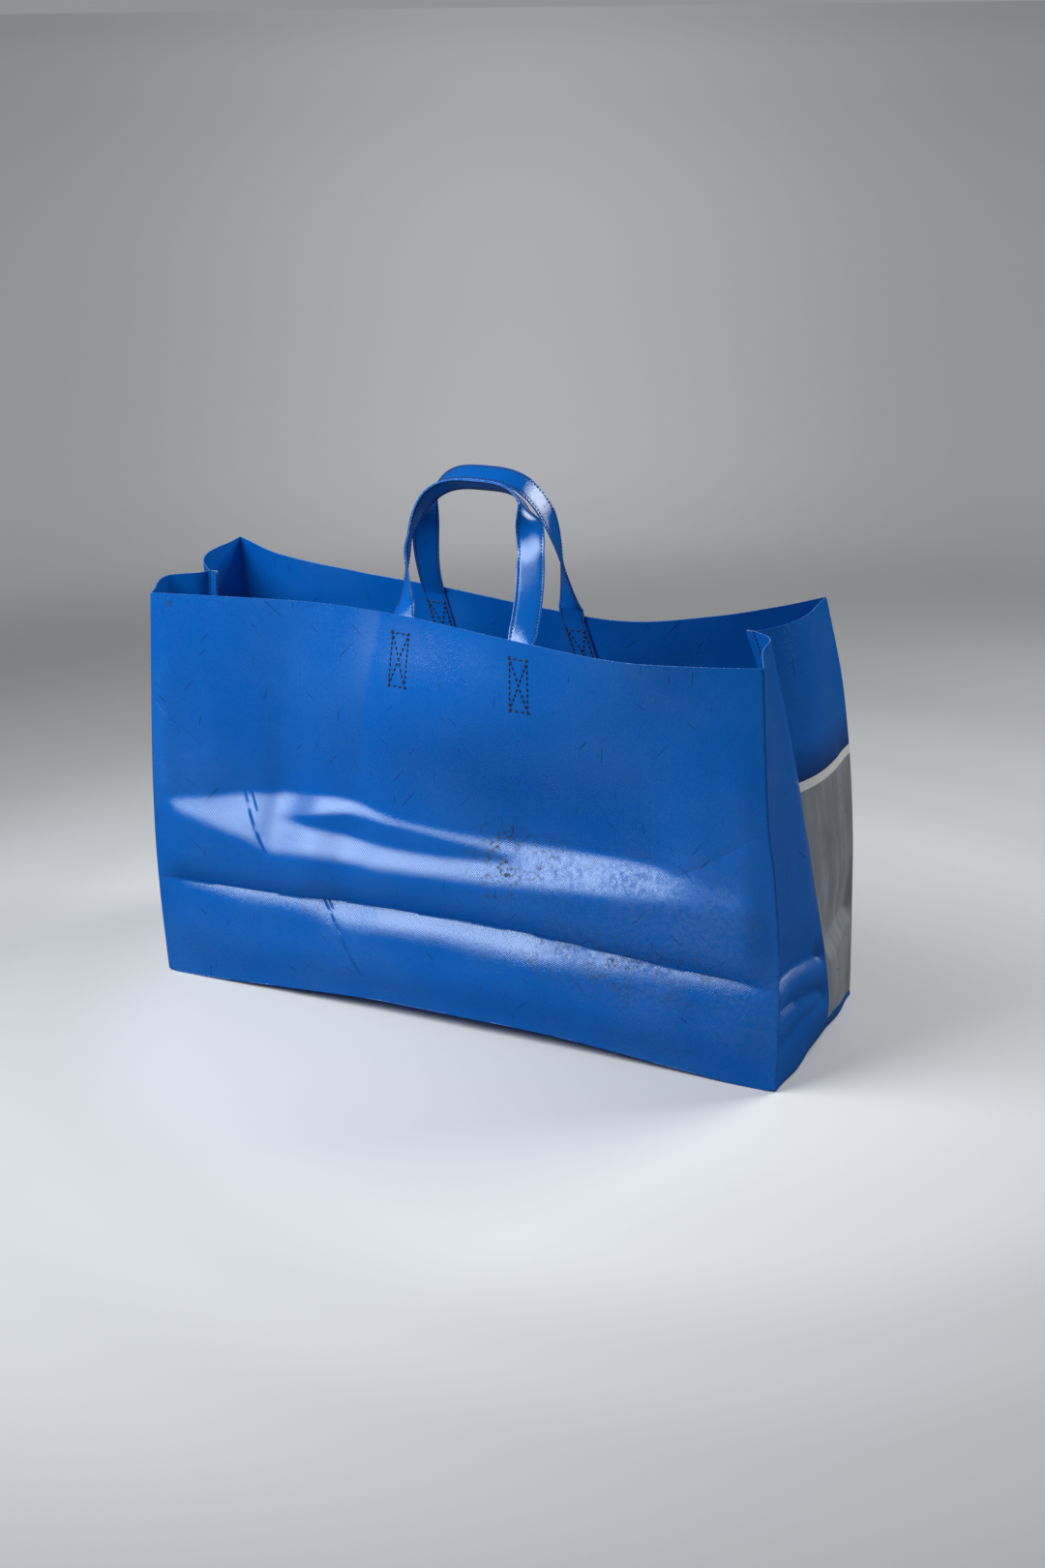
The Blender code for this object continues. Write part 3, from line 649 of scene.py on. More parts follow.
def ring_places(bag):
    """Places of the mesh columns along a half ring."""
    gusset = graded(bag.depth / 2, fine_at_end=False)
    return np.concatenate([1.0 - gusset[::-1], 1.0 + graded(bag.width)[1:-1], 2.0 + gusset])


def seam_height(place):
    """How high the seam runs above the ground, along the back half ring."""
    return mix(SEAM_FOOT, SEAM_TAIL, np.minimum(np.minimum(place, 3.0 - place), 1.0))


def seam_strip(bag, offset):
    """The seam from the right rim to the left rim: its points on the sheet, the same points moved
    sideways by an offset, and which way the edges turn in."""
    levels = row_levels(bag.height)
    levels = levels[levels >= SEAM_FOOT]
    places = ring_places(bag)[1:-1]
    right = bag.half_ring(1, np.zeros_like(levels), levels[::-1])
    low = bag.half_ring(1, places, seam_height(places))
    path = np.concatenate([right, low, bag.half_ring(1, np.full_like(levels, 3.0), levels)])
    turn = np.zeros((len(places), 3))
    for side, on_gusset, on_panel in ((-1.0, 1.0 - places, places - 1.0), (1.0, places - 2.0, 2.0 - places)):
        from_corner = np.where(on_gusset >= 0.0, on_gusset * bag.depth / 2, on_panel * bag.width)
        mitre = np.maximum(1.0 - from_corner / bag.seam_edge, 0.0)
        turn[:, 0] += side * np.where(on_gusset >= 0.0, 1.0, mitre)
        turn[:, 1] -= np.where(on_gusset >= 0.0, mitre, 0.0)
    turn[(places > 1.0) & (places < 2.0), 1] = -1.0
    upright = np.tile([1.0, 0.0, 0.0], (len(levels), 1))
    turns = np.concatenate([-upright, turn, upright])
    run = np.concatenate([path[1:2] - path[:1], path[2:] - path[:-2], path[-1:] - path[-2:-1]])
    return path, path - unit(np.cross(run, turns)) * offset, turns


def fold_weight(distance):
    """How strongly the mesh is softened at a distance from a fold."""
    return 1.0 - ease(distance, 0.4 * FOLD_RADIUS, FOLD_RADIUS)


def patch_ring(bag, half, rises, low_edge):
    """A half ring's patch: points, coordinates on the flat cut from its panel's middle, softening."""
    places = np.broadcast_to(ring_places(bag), rises.shape)
    wide, deep = bag.width / 2, bag.depth / 2
    u = np.where(places > 2.0, wide + (places - 2.0) * deep, (places - 1.5) * bag.width)
    u = np.where(places < 1.0, -wide - (1.0 - places) * deep, u)
    soft = fold_weight(np.minimum(np.abs(u + wide), np.abs(u - wide)))
    if low_edge:
        soft = np.maximum(soft, fold_weight(rises))
    return bag.half_ring(half, places, rises), np.stack([u, rises], axis=-1), soft


def rebuild(mesh, *others):
    """Merge meshes into the first, join points that touch and make the faces agree."""
    bm = bmesh.new()
    for part in (mesh, *others):
        bm.from_mesh(part)
    bmesh.ops.remove_doubles(bm, verts=bm.verts, dist=NEAR)
    bmesh.ops.recalc_face_normals(bm, faces=bm.faces)
    bm.to_mesh(mesh)
    bm.free()


def merge_patches(name, patches):
    """Turn patches into one mesh with merged borders, its flat coordinates and its softening."""
    verts, faces, flats, softs, start = [], [], [], [], 0
    for shape, flat, soft in patches:
        rows, columns = shape.shape[:2]
        index = np.arange(rows * columns).reshape(rows, columns)
        quads = np.stack([index[:-1, :-1], index[:-1, 1:], index[1:, 1:], index[1:, :-1]], axis=-1)
        quads = quads.reshape(-1, 4)
        verts.append(shape.reshape(-1, 3))
        flats.append(flat.reshape(-1, 2)[quads].reshape(-1, 2))
        softs.append(soft.reshape(-1))
        faces.append(quads + start)
        start += rows * columns
    mesh = bpy.data.meshes.new(name)
    mesh.from_pydata(np.concatenate(verts).tolist(), [], np.concatenate(faces).tolist())
    cut = mesh.uv_layers.new(name="Cut")
    cut.data.foreach_set("uv", np.concatenate(flats).astype(np.float32).ravel())
    softness = mesh.attributes.new("softness", "FLOAT", "POINT")
    softness.data.foreach_set("value", np.concatenate(softs).astype(np.float32))
    rebuild(mesh)
    return mesh


def read(items, attribute, width, kind):
    """One attribute of all items as an array of rows."""
    values = np.empty(len(items) * width, kind)
    items.foreach_get(attribute, values)
    return values.reshape(-1, width)


def soften_folds(mesh):
    """Round the folds: points near them move towards the middle of their neighbours."""
    co = read(mesh.vertices, "co", 3, float)
    edges = read(mesh.edges, "vertices", 2, np.int32)
    softness = mesh.attributes["softness"]
    weight = read(softness.data, "value", 1, np.float32)
    rim_edge = np.bincount(read(mesh.loops, "edge_index", 1, np.int32)[:, 0], minlength=len(edges)) == 1
    rim = np.zeros(len(co), bool)
    rim[edges[rim_edge].ravel()] = True
    pairs = np.concatenate([edges, edges[:, ::-1]])
    pairs = pairs[~rim[pairs[:, 0]] | np.concatenate([rim_edge, rim_edge])]
    count = np.maximum(np.bincount(pairs[:, 0], minlength=len(co)), 1)
    for _ in range(SOFTEN_ROUNDS):
        total = np.stack([np.bincount(pairs[:, 0], co[pairs[:, 1], k], len(co)) for k in range(3)], axis=1)
        co += (total / count[:, None] - co) * (0.5 * weight)
    mesh.vertices.foreach_set("co", co.ravel())
    mesh.attributes.remove(softness)


def face_outwards(mesh, outside):
    """Turn the whole mesh so that the face nearest a point looks away from the bag's middle."""
    centres = read(mesh.polygons, "center", 3, float)
    nearest = int(np.argmin(np.linalg.norm(centres - np.array(outside), axis=1)))
    if mesh.polygons[nearest].normal.dot(Vector(outside)) < 0:
        mesh.flip_normals()


def turned_in_strip(bag, start, turns, offset):
    """The turned-in edge as a patch, slightly curled away from its partner."""
    beside = unit(np.cross(np.gradient(start, axis=0), unit(turns)))
    widths = np.linspace(0.0, bag.seam_edge, EDGE_STEPS)
    curl = -np.sign(offset) * SEAM_CURL * (widths / bag.seam_edge) ** 2
    shape = start[:, None] + turns[:, None] * widths[None, :, None] + beside[:, None] * curl[None, :, None]
    flat = np.stack(np.broadcast_arrays(run_lengths(start)[:, None] + 1.0, widths[None]), axis=-1)
    return shape, flat, np.zeros(shape.shape[:2])


def run_lengths(path):
    """How far along a path each of its points lies."""
    return np.cumsum(np.concatenate([[0.0], np.linalg.norm(np.diff(path, axis=0), axis=1)]))


def make_sheet(bag, colours, which, patches, offset, outside):
    """A sheet from its patches: its edge turned in along the seam, its folds rounded, its thickness
    on the inner side, and its materials outside, inside and on the cut edge."""
    mesh = merge_patches(f"{which}_tarpaulin", patches)
    path, start, turns = seam_strip(bag, offset)
    tree = KDTree(len(path))
    for i, point in enumerate(path):
        tree.insert(point, i)
    tree.balance()
    for vert in mesh.vertices:
        found, i, distance = tree.find(vert.co)
        if distance < NEAR:
            vert.co = start[i]
    face_outwards(mesh, outside)
    strip = merge_patches("strip", [turned_in_strip(bag, start, turns, offset)])
    rebuild(mesh, strip)
    bpy.data.meshes.remove(strip)
    face_outwards(mesh, outside)
    soften_folds(mesh)
    mesh.shade_smooth()
    mesh.materials.append(tarpaulin(f"{which}_tarpaulin_outside", colours, bag, which))
    mesh.materials.append(tarpaulin(f"{which}_tarpaulin_inside", colours, bag, "plain"))
    mesh.materials.append(cut_edge(colours))
    obj = bpy.data.objects.new(mesh.name, mesh)
    wall = obj.modifiers.new("Thickness", "SOLIDIFY")
    wall.thickness = bag.sheet
    wall.offset = -1.0
    wall.use_even_offset = True
    wall.material_offset = 1
    wall.material_offset_rim = 2
    make_plain(obj)
    obj.data.set_sharp_from_angle(angle=math.radians(SHEET_SHARP))
    return obj


def make_plain(obj):
    """Make the modifiers' result the object's own mesh, and take the modifiers off."""
    bpy.context.scene.collection.objects.link(obj)
    old = obj.data
    mesh = bpy.data.meshes.new_from_object(obj.evaluated_get(bpy.context.evaluated_depsgraph_get()))
    obj.modifiers.clear()
    obj.data = mesh
    bpy.data.meshes.remove(old)
    mesh.name = obj.name


def front_patches(bag):
    """The front sheet's patches: front and gusset halves, the strip up to the seam, the bottom."""
    levels, places = row_levels(bag.height), ring_places(bag)
    rises = np.broadcast_to(levels[:, None], (len(levels), len(places)))
    low = levels[levels <= SEAM_FOOT + NEAR] / SEAM_FOOT
    shape, flat, soft = patch_ring(bag, 1, low[:, None] * seam_height(places)[None], True)
    gusset = graded(bag.depth / 2, fine_at_end=False)
    backs = np.concatenate([gusset / 2, 1.0 - gusset[::-1][1:] / 2])
    acrosses = graded(bag.width)
    floor = np.stack([bag.floor_point(acrosses, back) for back in backs])
    across_m, back_m = np.meshgrid(acrosses * bag.width, backs * bag.depth)
    edge = np.minimum(np.minimum(across_m, bag.width - across_m), np.minimum(back_m, bag.depth - back_m))
    return [
        patch_ring(bag, -1, rises, True),
        (shape, flat * (1, -1) - (0, bag.depth), soft),
        (floor, np.stack([across_m - bag.width / 2, -back_m], axis=-1), fold_weight(edge)),
    ]


def back_patches(bag):
    """The back sheet's one patch, down to the seam."""
    levels = row_levels(bag.height)
    levels = levels[levels >= SEAM_FOOT - NEAR]
    high = (levels - SEAM_FOOT) / (bag.height - SEAM_FOOT)
    rises = mix(seam_height(ring_places(bag))[None], bag.height, high[:, None])
    return [patch_ring(bag, 1, rises, False)]


def panel_frame(bag, which, across, rise):
    """Points on a panel with its direction along the width, and into the bag."""
    wall = bag.front_wall if which == "front" else bag.back_wall
    point = wall(across, rise)
    along = unit(wall(across + SLOPE_STEP, rise) - wall(across - SLOPE_STEP, rise))
    up = unit(wall(across, rise + SLOPE_STEP) - wall(across, rise - SLOPE_STEP))
    inwards = unit(np.cross(up, along))
    if inwards.reshape(-1, 3)[0, 1] * point.reshape(-1, 3)[0, 1] > 0:
        inwards = -inwards
    return point, along, inwards


def even_arch(squareness, tallness):
    """Evenly spaced sides (-1 to 1) and levels (0 to 1 to 0) over an arch."""
    turn = np.pi * ease(np.arange(ARCH_SAMPLES + 1), 0, ARCH_SAMPLES)
    side = -np.copysign(np.abs(np.cos(turn)) ** (2.0 / squareness), np.cos(turn))
    level = np.abs(np.sin(turn)) ** (2.0 / squareness)
    runs = np.concatenate([[0.0], np.cumsum(np.hypot(np.diff(side), tallness * np.diff(level)))])
    wanted = runs[-1] * np.arange(1, STRAP_STEPS) / STRAP_STEPS
    return np.interp(wanted, runs, side), np.interp(wanted, runs, level)


def strap_stations(bag, which):
    """A strap's centres and the directions of its width and its face, from left foot to right foot."""
    handle = HANDLES[which]
    rises = bag.height - np.linspace(bag.strap_foot, STRAP_RELEASE, FOOT_STEPS + 1)
    feet = []
    for foot in handle["feet"]:
        point, along, inwards = panel_frame(bag, which, np.full_like(rises, 0.5 + foot / bag.width), rises)
        feet.append((point + inwards * (bag.sheet + bag.strap_gap + bag.strap_thickness / 2), along))
    (left, left_width), (right, right_width) = feet
    start, end = left[-1], right[-1]
    top = np.array([*handle["top"], bag.height + handle["rise"]])
    slope = top - (start + end) / 2
    across_top = unit(np.array([0.0, -slope[2], slope[1]])) * (1.0 if which == "front" else -1.0)
    side, level = even_arch(handle["squareness"], handle["rise"] / handle["half_span"])
    is_left = side < 0
    lowest = np.where(is_left[:, None], start, end)
    along = np.where(is_left[:, None], left_width[-1], right_width[-1])
    upright_x = mix(start[0], end[0], (side + 1.0) / 2)
    x = mix(upright_x, top[0] + side * handle["half_span"], ease(level, 0.0, STRAP_GATHER))
    z = mix(lowest[:, 2], top[2], level)
    risen = np.clip((z - lowest[:, 2] - STRAP_TWIST_START) / STRAP_TWIST_RISE, 0.0, 1.0)
    first, full, going, gone = LEG_TURN
    turn = np.where(is_left, *handle["turn"]) * ease(level, first, full) * (1.0 - ease(level, going, gone))
    twist = (np.pi / 2 * risen ** np.where(is_left, *handle["twist"]) + turn)[:, None]
    sign = np.where(is_left, 1.0, -1.0)[:, None]
    width = along * np.cos(twist) + across_top * np.sin(twist) * sign
    early, late = 2 * np.pi * LEG_PHASE, 2 * np.pi * (level - LEG_PHASE)
    lean = level - LEG_BOW * (np.sin(late) + math.sin(early)) / (2 * np.pi)
    centres = np.concatenate([left, points(x, mix(lowest[:, 1], top[1], lean), z), right[::-1]])
    widths = np.concatenate([left_width, width, right_width[::-1]])
    run = unit(np.gradient(centres, axis=0))
    widths = unit(widths - run * (widths * run).sum(axis=1, keepdims=True))
    for i in range(1, len(widths)):
        if widths[i] @ widths[i - 1] < 0:
            widths[i] *= -1
    return centres, widths, unit(np.cross(run, widths))


def strap_profile(bag):
    """Half of a strap's section, over its upper layer: (across, up, is a cut edge)."""
    half, thick, row = bag.strap_width / 2, bag.strap_thickness / 2, bag.row_inset
    return (
        (half - 0.0007, 0.00008, True),
        (half - 0.0001, 0.00016, True),
        (half, thick * 0.35, True),
        (half, thick * 0.75, True),
        (half - 0.00025, thick * 0.97, False),
        (half - 0.0006, thick, False),
        (half - row * 0.65, thick, False),
        (half - row, thick - bag.row_groove, False),
        (half - row * 1.35, thick - 0.00002, False),
        (half - row * 2.4, thick + 0.00010, False),
        (0.0, thick + 0.00014, False),
    )


def make_strap(bag, colours, which):
    """A strap: two layers sewn together, with a groove between them along both edges."""
    centres, widths, tops = strap_stations(bag, which)
    right = strap_profile(bag)
    upper = [*right, *[(-a, b, c) for a, b, c in right[-2::-1]]]
    ring = [*upper, *[(a, -b, c) for a, b, c in upper[::-1]]]
    across, up, cut = np.array(ring, float).T
    shape = centres[:, None] + widths[:, None] * across[None, :, None] + tops[:, None] * up[None, :, None]
    rows, columns = shape.shape[:2]
    far = run_lengths(centres)
    faces, edges = [], []
    for i in range(rows - 1):
        for j in range(columns):
            k = (j + 1) % columns
            faces.append((i * columns + j, i * columns + k, (i + 1) * columns + k, (i + 1) * columns + j))
            edges.append(cut[j] and cut[k])
    faces.append(range(columns - 1, -1, -1))
    faces.append(range((rows - 1) * columns, rows * columns))
    edges += [True, True]
    mesh = bpy.data.meshes.new(f"{which}_strap")
    mesh.from_pydata(shape.reshape(-1, 3).tolist(), [], faces)
    flats = [(far[i // columns], across[i % columns]) for face in faces for i in face]
    mesh.uv_layers.new(name="Cut").data.foreach_set("uv", np.array(flats, np.float32).ravel())
    rebuild(mesh)
    mesh.materials.append(tarpaulin(f"{which}_strap_tarpaulin", colours, bag, "strap"))
    mesh.materials.append(cut_edge(colours))
    mesh.polygons.foreach_set("material_index", np.array(edges, np.int32))
    mesh.shade_smooth()
    mesh.set_sharp_from_angle(angle=math.radians(STRAP_SHARP))
    return bpy.data.objects.new(mesh.name, mesh)


class Nodes:
    """Short calls that add nodes to a tree; each input is a value or another node's socket."""

    def __init__(self, tree):
        self.tree = tree

    def fill(self, socket, value):
        """Link a socket to another socket, or set its value; a colour's alpha may be left out."""
        if isinstance(value, bpy.types.NodeSocket):
            self.tree.links.new(value, socket)
        elif socket.type == "RGBA":
            socket.default_value = (*value, 1.0)
        else:
            socket.default_value = value

    def add(self, kind, inputs, **settings):
        made = self.tree.nodes.new(kind)
        for name, value in settings.items():
            setattr(made, name, value)
        for name, value in inputs.items():
            self.fill(made.inputs[name], value)
        return made

    def maths(self, operation, *values, clamp=False):
        made = self.add("ShaderNodeMath", dict(enumerate(values)), operation=operation, use_clamp=clamp)
        return made.outputs[0]

    def times(self, first, *others):
        for other in others:
            first = self.maths("MULTIPLY", first, other)
        return first

    def plus(self, first, second):
        return self.maths("ADD", first, second)

    def vector(self, operation, first, second):
        return self.add("ShaderNodeVectorMath", {0: first, 1: second}, operation=operation).outputs[0]

    def distance(self, first, second):
        return self.add("ShaderNodeVectorMath", {0: first, 1: second}, operation="DISTANCE").outputs["Value"]

    def split(self, vector):
        return self.add("ShaderNodeSeparateXYZ", {"Vector": vector}).outputs

    def turned(self, vector, angle):
        inputs = {"Vector": vector, "Angle": angle}
        return self.add("ShaderNodeVectorRotate", inputs, rotation_type="Z_AXIS").outputs[0]

    def noise(self, place, scale, detail, roughness=0.5):
        inputs = {"Vector": place, "Scale": scale, "Detail": detail, "Roughness": roughness}
        return self.add("ShaderNodeTexNoise", inputs).outputs["Fac"]

    def remap(self, value, low, high, to_low=0.0, to_high=1.0, smooth=False):
        names = ("Value", "From Min", "From Max", "To Min", "To Max")
        kind = "SMOOTHSTEP" if smooth else "LINEAR"
        inputs = dict(zip(names, (value, low, high, to_low, to_high)))
        return self.add("ShaderNodeMapRange", inputs, interpolation_type=kind).outputs[0]

    def ramp(self, value, *stops):
        """A smooth ramp from value to grey levels at (place, level) stops."""
        made = self.add("ShaderNodeValToRGB", {"Fac": value})
        made.color_ramp.interpolation = "EASE"
        elements = made.color_ramp.elements
        while len(elements) < len(stops):
            elements.new(0.5)
        for element, (place, level) in zip(elements, stops):
            element.position = place
            element.color = (level, level, level, 1.0)
        return made.outputs["Color"]

    def blend(self, share, first, second):
        """Blend two colours."""
        return self.add("ShaderNodeMix", {0: share, 6: first, 7: second}, data_type="RGBA").outputs[2]

    def bump(self, height, distance, normal=None, strength=1.0):
        inputs = {"Height": height, "Distance": distance, "Strength": strength}
        if normal is not None:
            inputs["Normal"] = normal
        return self.add("ShaderNodeBump", inputs).outputs[0]


def new_material(name):
    """A new material, short calls for its nodes, and its shader's inputs."""
    material = bpy.data.materials.new(name)
    material.use_nodes = True
    return material, Nodes(material.node_tree), material.node_tree.nodes["Principled BSDF"].inputs


def weave_height(nodes, cut):
    """The woven ground under the coating: a basket of small pillows, slightly uneven."""
    uneven = nodes.add("ShaderNodeTexNoise", {"Vector": cut, "Scale": 60.0, "Detail": 2.0}).outputs["Color"]
    shift = nodes.vector("MULTIPLY", uneven, (WEAVE_WANDER, WEAVE_WANDER, 0.0))
    place = nodes.split(nodes.vector("ADD", cut, shift))
    turns = [nodes.times(place[axis], 2 * math.pi / pitch) for axis, pitch in zip("XY", WEAVE_PITCH)]
    return nodes.times(*(nodes.maths("SINE", turn) for turn in turns))


def crease_height(nodes, cut, bag):
    """The sharp grooves in FINE_CREASES, negative and in metres."""
    total = None
    for start, end, depth, half_width in FINE_CREASES:
        run = np.array(end) - np.array(start)
        half = float(np.hypot(*run)) / 2
        moved = nodes.vector("SUBTRACT", cut, (start[0] - bag.width / 2, start[1], 0.0))
        place = nodes.split(nodes.turned(moved, -math.atan2(run[1], run[0])))
        beside = nodes.maths("DIVIDE", nodes.maths("ABSOLUTE", place["Y"]), half_width)
        groove = nodes.maths("MAXIMUM", nodes.maths("SUBTRACT", 1.0, beside), 0.0)
        middle = nodes.maths("ABSOLUTE", nodes.maths("SUBTRACT", place["X"], half))
        ends = nodes.maths("MULTIPLY", nodes.maths("SUBTRACT", half, middle), 1.0 / CREASE_FADE, clamp=True)
        groove = nodes.times(groove, ends, -depth)
        total = groove if total is None else nodes.plus(total, groove)
    return total


def near_places(nodes, cut, bag, places):
    """How near the sheet's points lie to the given places: (place, reach, strength) each."""
    total = None
    for place, reach, strength in places:
        away = nodes.distance(cut, (place[0] - bag.width / 2, place[1], 0.0))
        near = nodes.maths("SUBTRACT", 1.0, nodes.maths("DIVIDE", away, reach), clamp=True)
        near = nodes.times(near, strength)
        total = near if total is None else nodes.maths("MAXIMUM", total, near)
    return total


def rubbed_band(nodes, cut, bag, streaky):
    """Extra roughness on the upright band below the rim where the coating is rubbed dull."""
    start, end, left, right, extra = RUBBED_BAND
    place = nodes.split(cut)
    lean = nodes.times(nodes.maths("SUBTRACT", place["Y"], start), -0.16)
    across = nodes.plus(nodes.plus(place["X"], bag.width / 2), lean)
    first = nodes.remap(across, left, left + 0.04, smooth=True)
    last = nodes.remap(across, right, right - 0.012, smooth=True)
    height = nodes.remap(place["Y"], start, end, smooth=True)
    return nodes.times(first, last, height, nodes.plus(nodes.times(streaky, 0.8), 0.6), extra)


def nicks_mask(nodes, cut):
    """Short fine nicks, in a few directions."""
    total = None
    for turn, scale in NICKS:
        place = nodes.vector("MULTIPLY", nodes.turned(cut, turn), scale)
        hairs = nodes.ramp(nodes.noise(place, 1.0, 1.0), (0.735, 0.0), (0.765, 0.6))
        total = hairs if total is None else nodes.maths("MAXIMUM", total, hairs)
    return total


def printed_fields(nodes, cut, base, streaky, cloudy, colours, bag):
    """The back sheet's fields: a dark edge above a white band, and worn grey below."""
    height = nodes.split(cut)["Y"]
    grey = np.array(colours.grey)
    dark = nodes.remap(height, bag.band_top, bag.band_top + 0.030, 0.85, 0.0)
    base = nodes.blend(dark, base, colours.shade)
    worn = nodes.blend(nodes.ramp(streaky, (0.35, 0.0), (0.70, 0.8)), grey, grey * SCUFFED)
    worn = nodes.blend(nodes.ramp(cloudy, (0.45, 0.0), (0.7, 0.5)), worn, grey * CLOUDED)
    printed = nodes.maths("LESS_THAN", height, bag.band_top)
    base = nodes.blend(printed, base, colours.white)
    return nodes.blend(nodes.maths("LESS_THAN", height, bag.band_top - bag.band_width), base, worn), printed


def tarpaulin(name, colours, bag, kind):
    """Coated tarpaulin: glossy, with its weave showing through, rubbed, scratched and a little dirty.
    The kinds are front and back for the sheets' outer sides, plain for the inner ones, and strap."""
    material, nodes, shader = new_material(name)
    finish = FINISHES["strap" if kind == "strap" else "sheet"]
    gloss, dull, grainy, weave_depth, skin_depth, score_depth = finish
    cut = nodes.add("ShaderNodeUVMap", {}, uv_map="Cut").outputs[0]
    cloudy = nodes.noise(cut, *CLOUDS)
    slanted = {"Vector": cut, "Scale": STREAKS, "Rotation": (0.0, 0.0, STREAK_TURN)}
    streaky = nodes.noise(nodes.add("ShaderNodeMapping", slanted).outputs[0], 1.0, 6.0)
    fine = nodes.noise(cut, *SKIN)
    specks = nodes.add("ShaderNodeTexVoronoi", {"Vector": cut, "Scale": 75.0}).outputs["Distance"]
    rubbed = nodes.ramp(cloudy, (0.40, 0.0), (0.75, 0.75))
    grain = nodes.times(nodes.maths("SUBTRACT", fine, 0.5), grainy)
    rough = nodes.plus(nodes.remap(cloudy, 0.36, 0.70, gloss, dull), grain)
    rough = nodes.maths("MAXIMUM", rough, LEAST_ROUGHNESS)
    normal = nodes.bump(weave_height(nodes, cut), weave_depth)
    normal = nodes.bump(fine, skin_depth, normal)
    normal = nodes.bump(streaky, score_depth, normal, SCORE_STRENGTH)
    base = nodes.blend(rubbed, colours.blue, colours.faded)
    shine = SHINE
    if kind == "back":
        base, printed = printed_fields(nodes, cut, base, streaky, cloudy, colours, bag)
        rough = nodes.plus(rough, nodes.times(printed, PRINT_ROUGHNESS))
        shine = nodes.maths("SUBTRACT", SHINE, nodes.times(printed, 0.5))
    base = nodes.blend(nodes.ramp(streaky, (0.60, 0.0), (0.74, 0.30)), base, colours.faded)
    dots = nodes.ramp(specks, (0.035, 0.55), (0.075, 0.0))
    base = nodes.blend(nodes.times(dots, rubbed), base, colours.dirt)
    base = nodes.blend(nicks_mask(nodes, cut), base, colours.shade)
    if kind == "front":
        patches = nodes.ramp(nodes.noise(cut, *DIRT_PATCHES), (0.40, 0.0), (0.62, 1.3))
        spotty = nodes.ramp(nodes.noise(cut, *DIRT_SPOTS), (0.42, 0.0), (0.62, 1.0))
        stain = nodes.times(near_places(nodes, cut, bag, STAINS), patches, spotty)
        base = nodes.blend(stain, base, colours.dirt)
        worn = near_places(nodes, cut, bag, WORN_PATCHES)
        mottled = nodes.ramp(nodes.noise(cut, *MOTTLES), (0.35, 0.04), (0.68, 0.40))
        rough = nodes.plus(rough, rubbed_band(nodes, cut, bag, streaky))
        rough = nodes.plus(rough, nodes.times(stain, DIRT_ROUGHNESS))
        rough = nodes.plus(rough, nodes.times(worn, mottled))
        normal = nodes.bump(crease_height(nodes, cut, bag), 1.0, normal)
        normal = nodes.bump(nodes.times(nodes.noise(cut, *PEBBLES), worn), PEBBLE_DEPTH, normal)
    if kind == "strap":
        ripples = nodes.noise(nodes.vector("MULTIPLY", cut, RIPPLES), 1.0, 3.0)
        normal = nodes.bump(ripples, RIPPLE_DEPTH, normal)
    for socket, value in (
        ("Base Color", base), ("Roughness", rough), ("Normal", normal),
        ("Specular IOR Level", shine), ("Specular Tint", SHINE_TINT),
    ):
        nodes.fill(shader[socket], value)
    return material


def cut_edge(colours):
    """The sheet's cut edge: paler, with the ends of the white yarn in it."""
    if "cut_edge" in bpy.data.materials:
        return bpy.data.materials["cut_edge"]
    material, nodes, shader = new_material("cut_edge")
    ends = nodes.noise(nodes.add("ShaderNodeTexCoord", {}).outputs["Object"], 900.0, 1.0)
    share = nodes.ramp(ends, (0.58, 0.0), (0.70, 0.6))
    nodes.fill(shader["Base Color"], nodes.blend(share, colours.cut, colours.yarn))
    nodes.fill(shader["Specular IOR Level"], 0.2)
    nodes.fill(shader["Roughness"], 0.65)
    return material


def sewing_thread(colours):
    """Dark polyester thread with its twist."""
    material, nodes, shader = new_material("sewing_thread")
    twist = nodes.noise(nodes.add("ShaderNodeTexCoord", {}).outputs["Object"], 2500.0, 2.0)
    lighter = np.minimum(np.array(colours.thread) * 3.0, 1.0)
    share = nodes.ramp(twist, (0.4, 0.0), (0.7, 1.0))
    nodes.fill(shader["Base Color"], nodes.blend(share, colours.thread, lighter))
    nodes.fill(shader["Normal"], nodes.bump(twist, 0.00008))
    nodes.fill(shader["Roughness"], 0.6)
    return material


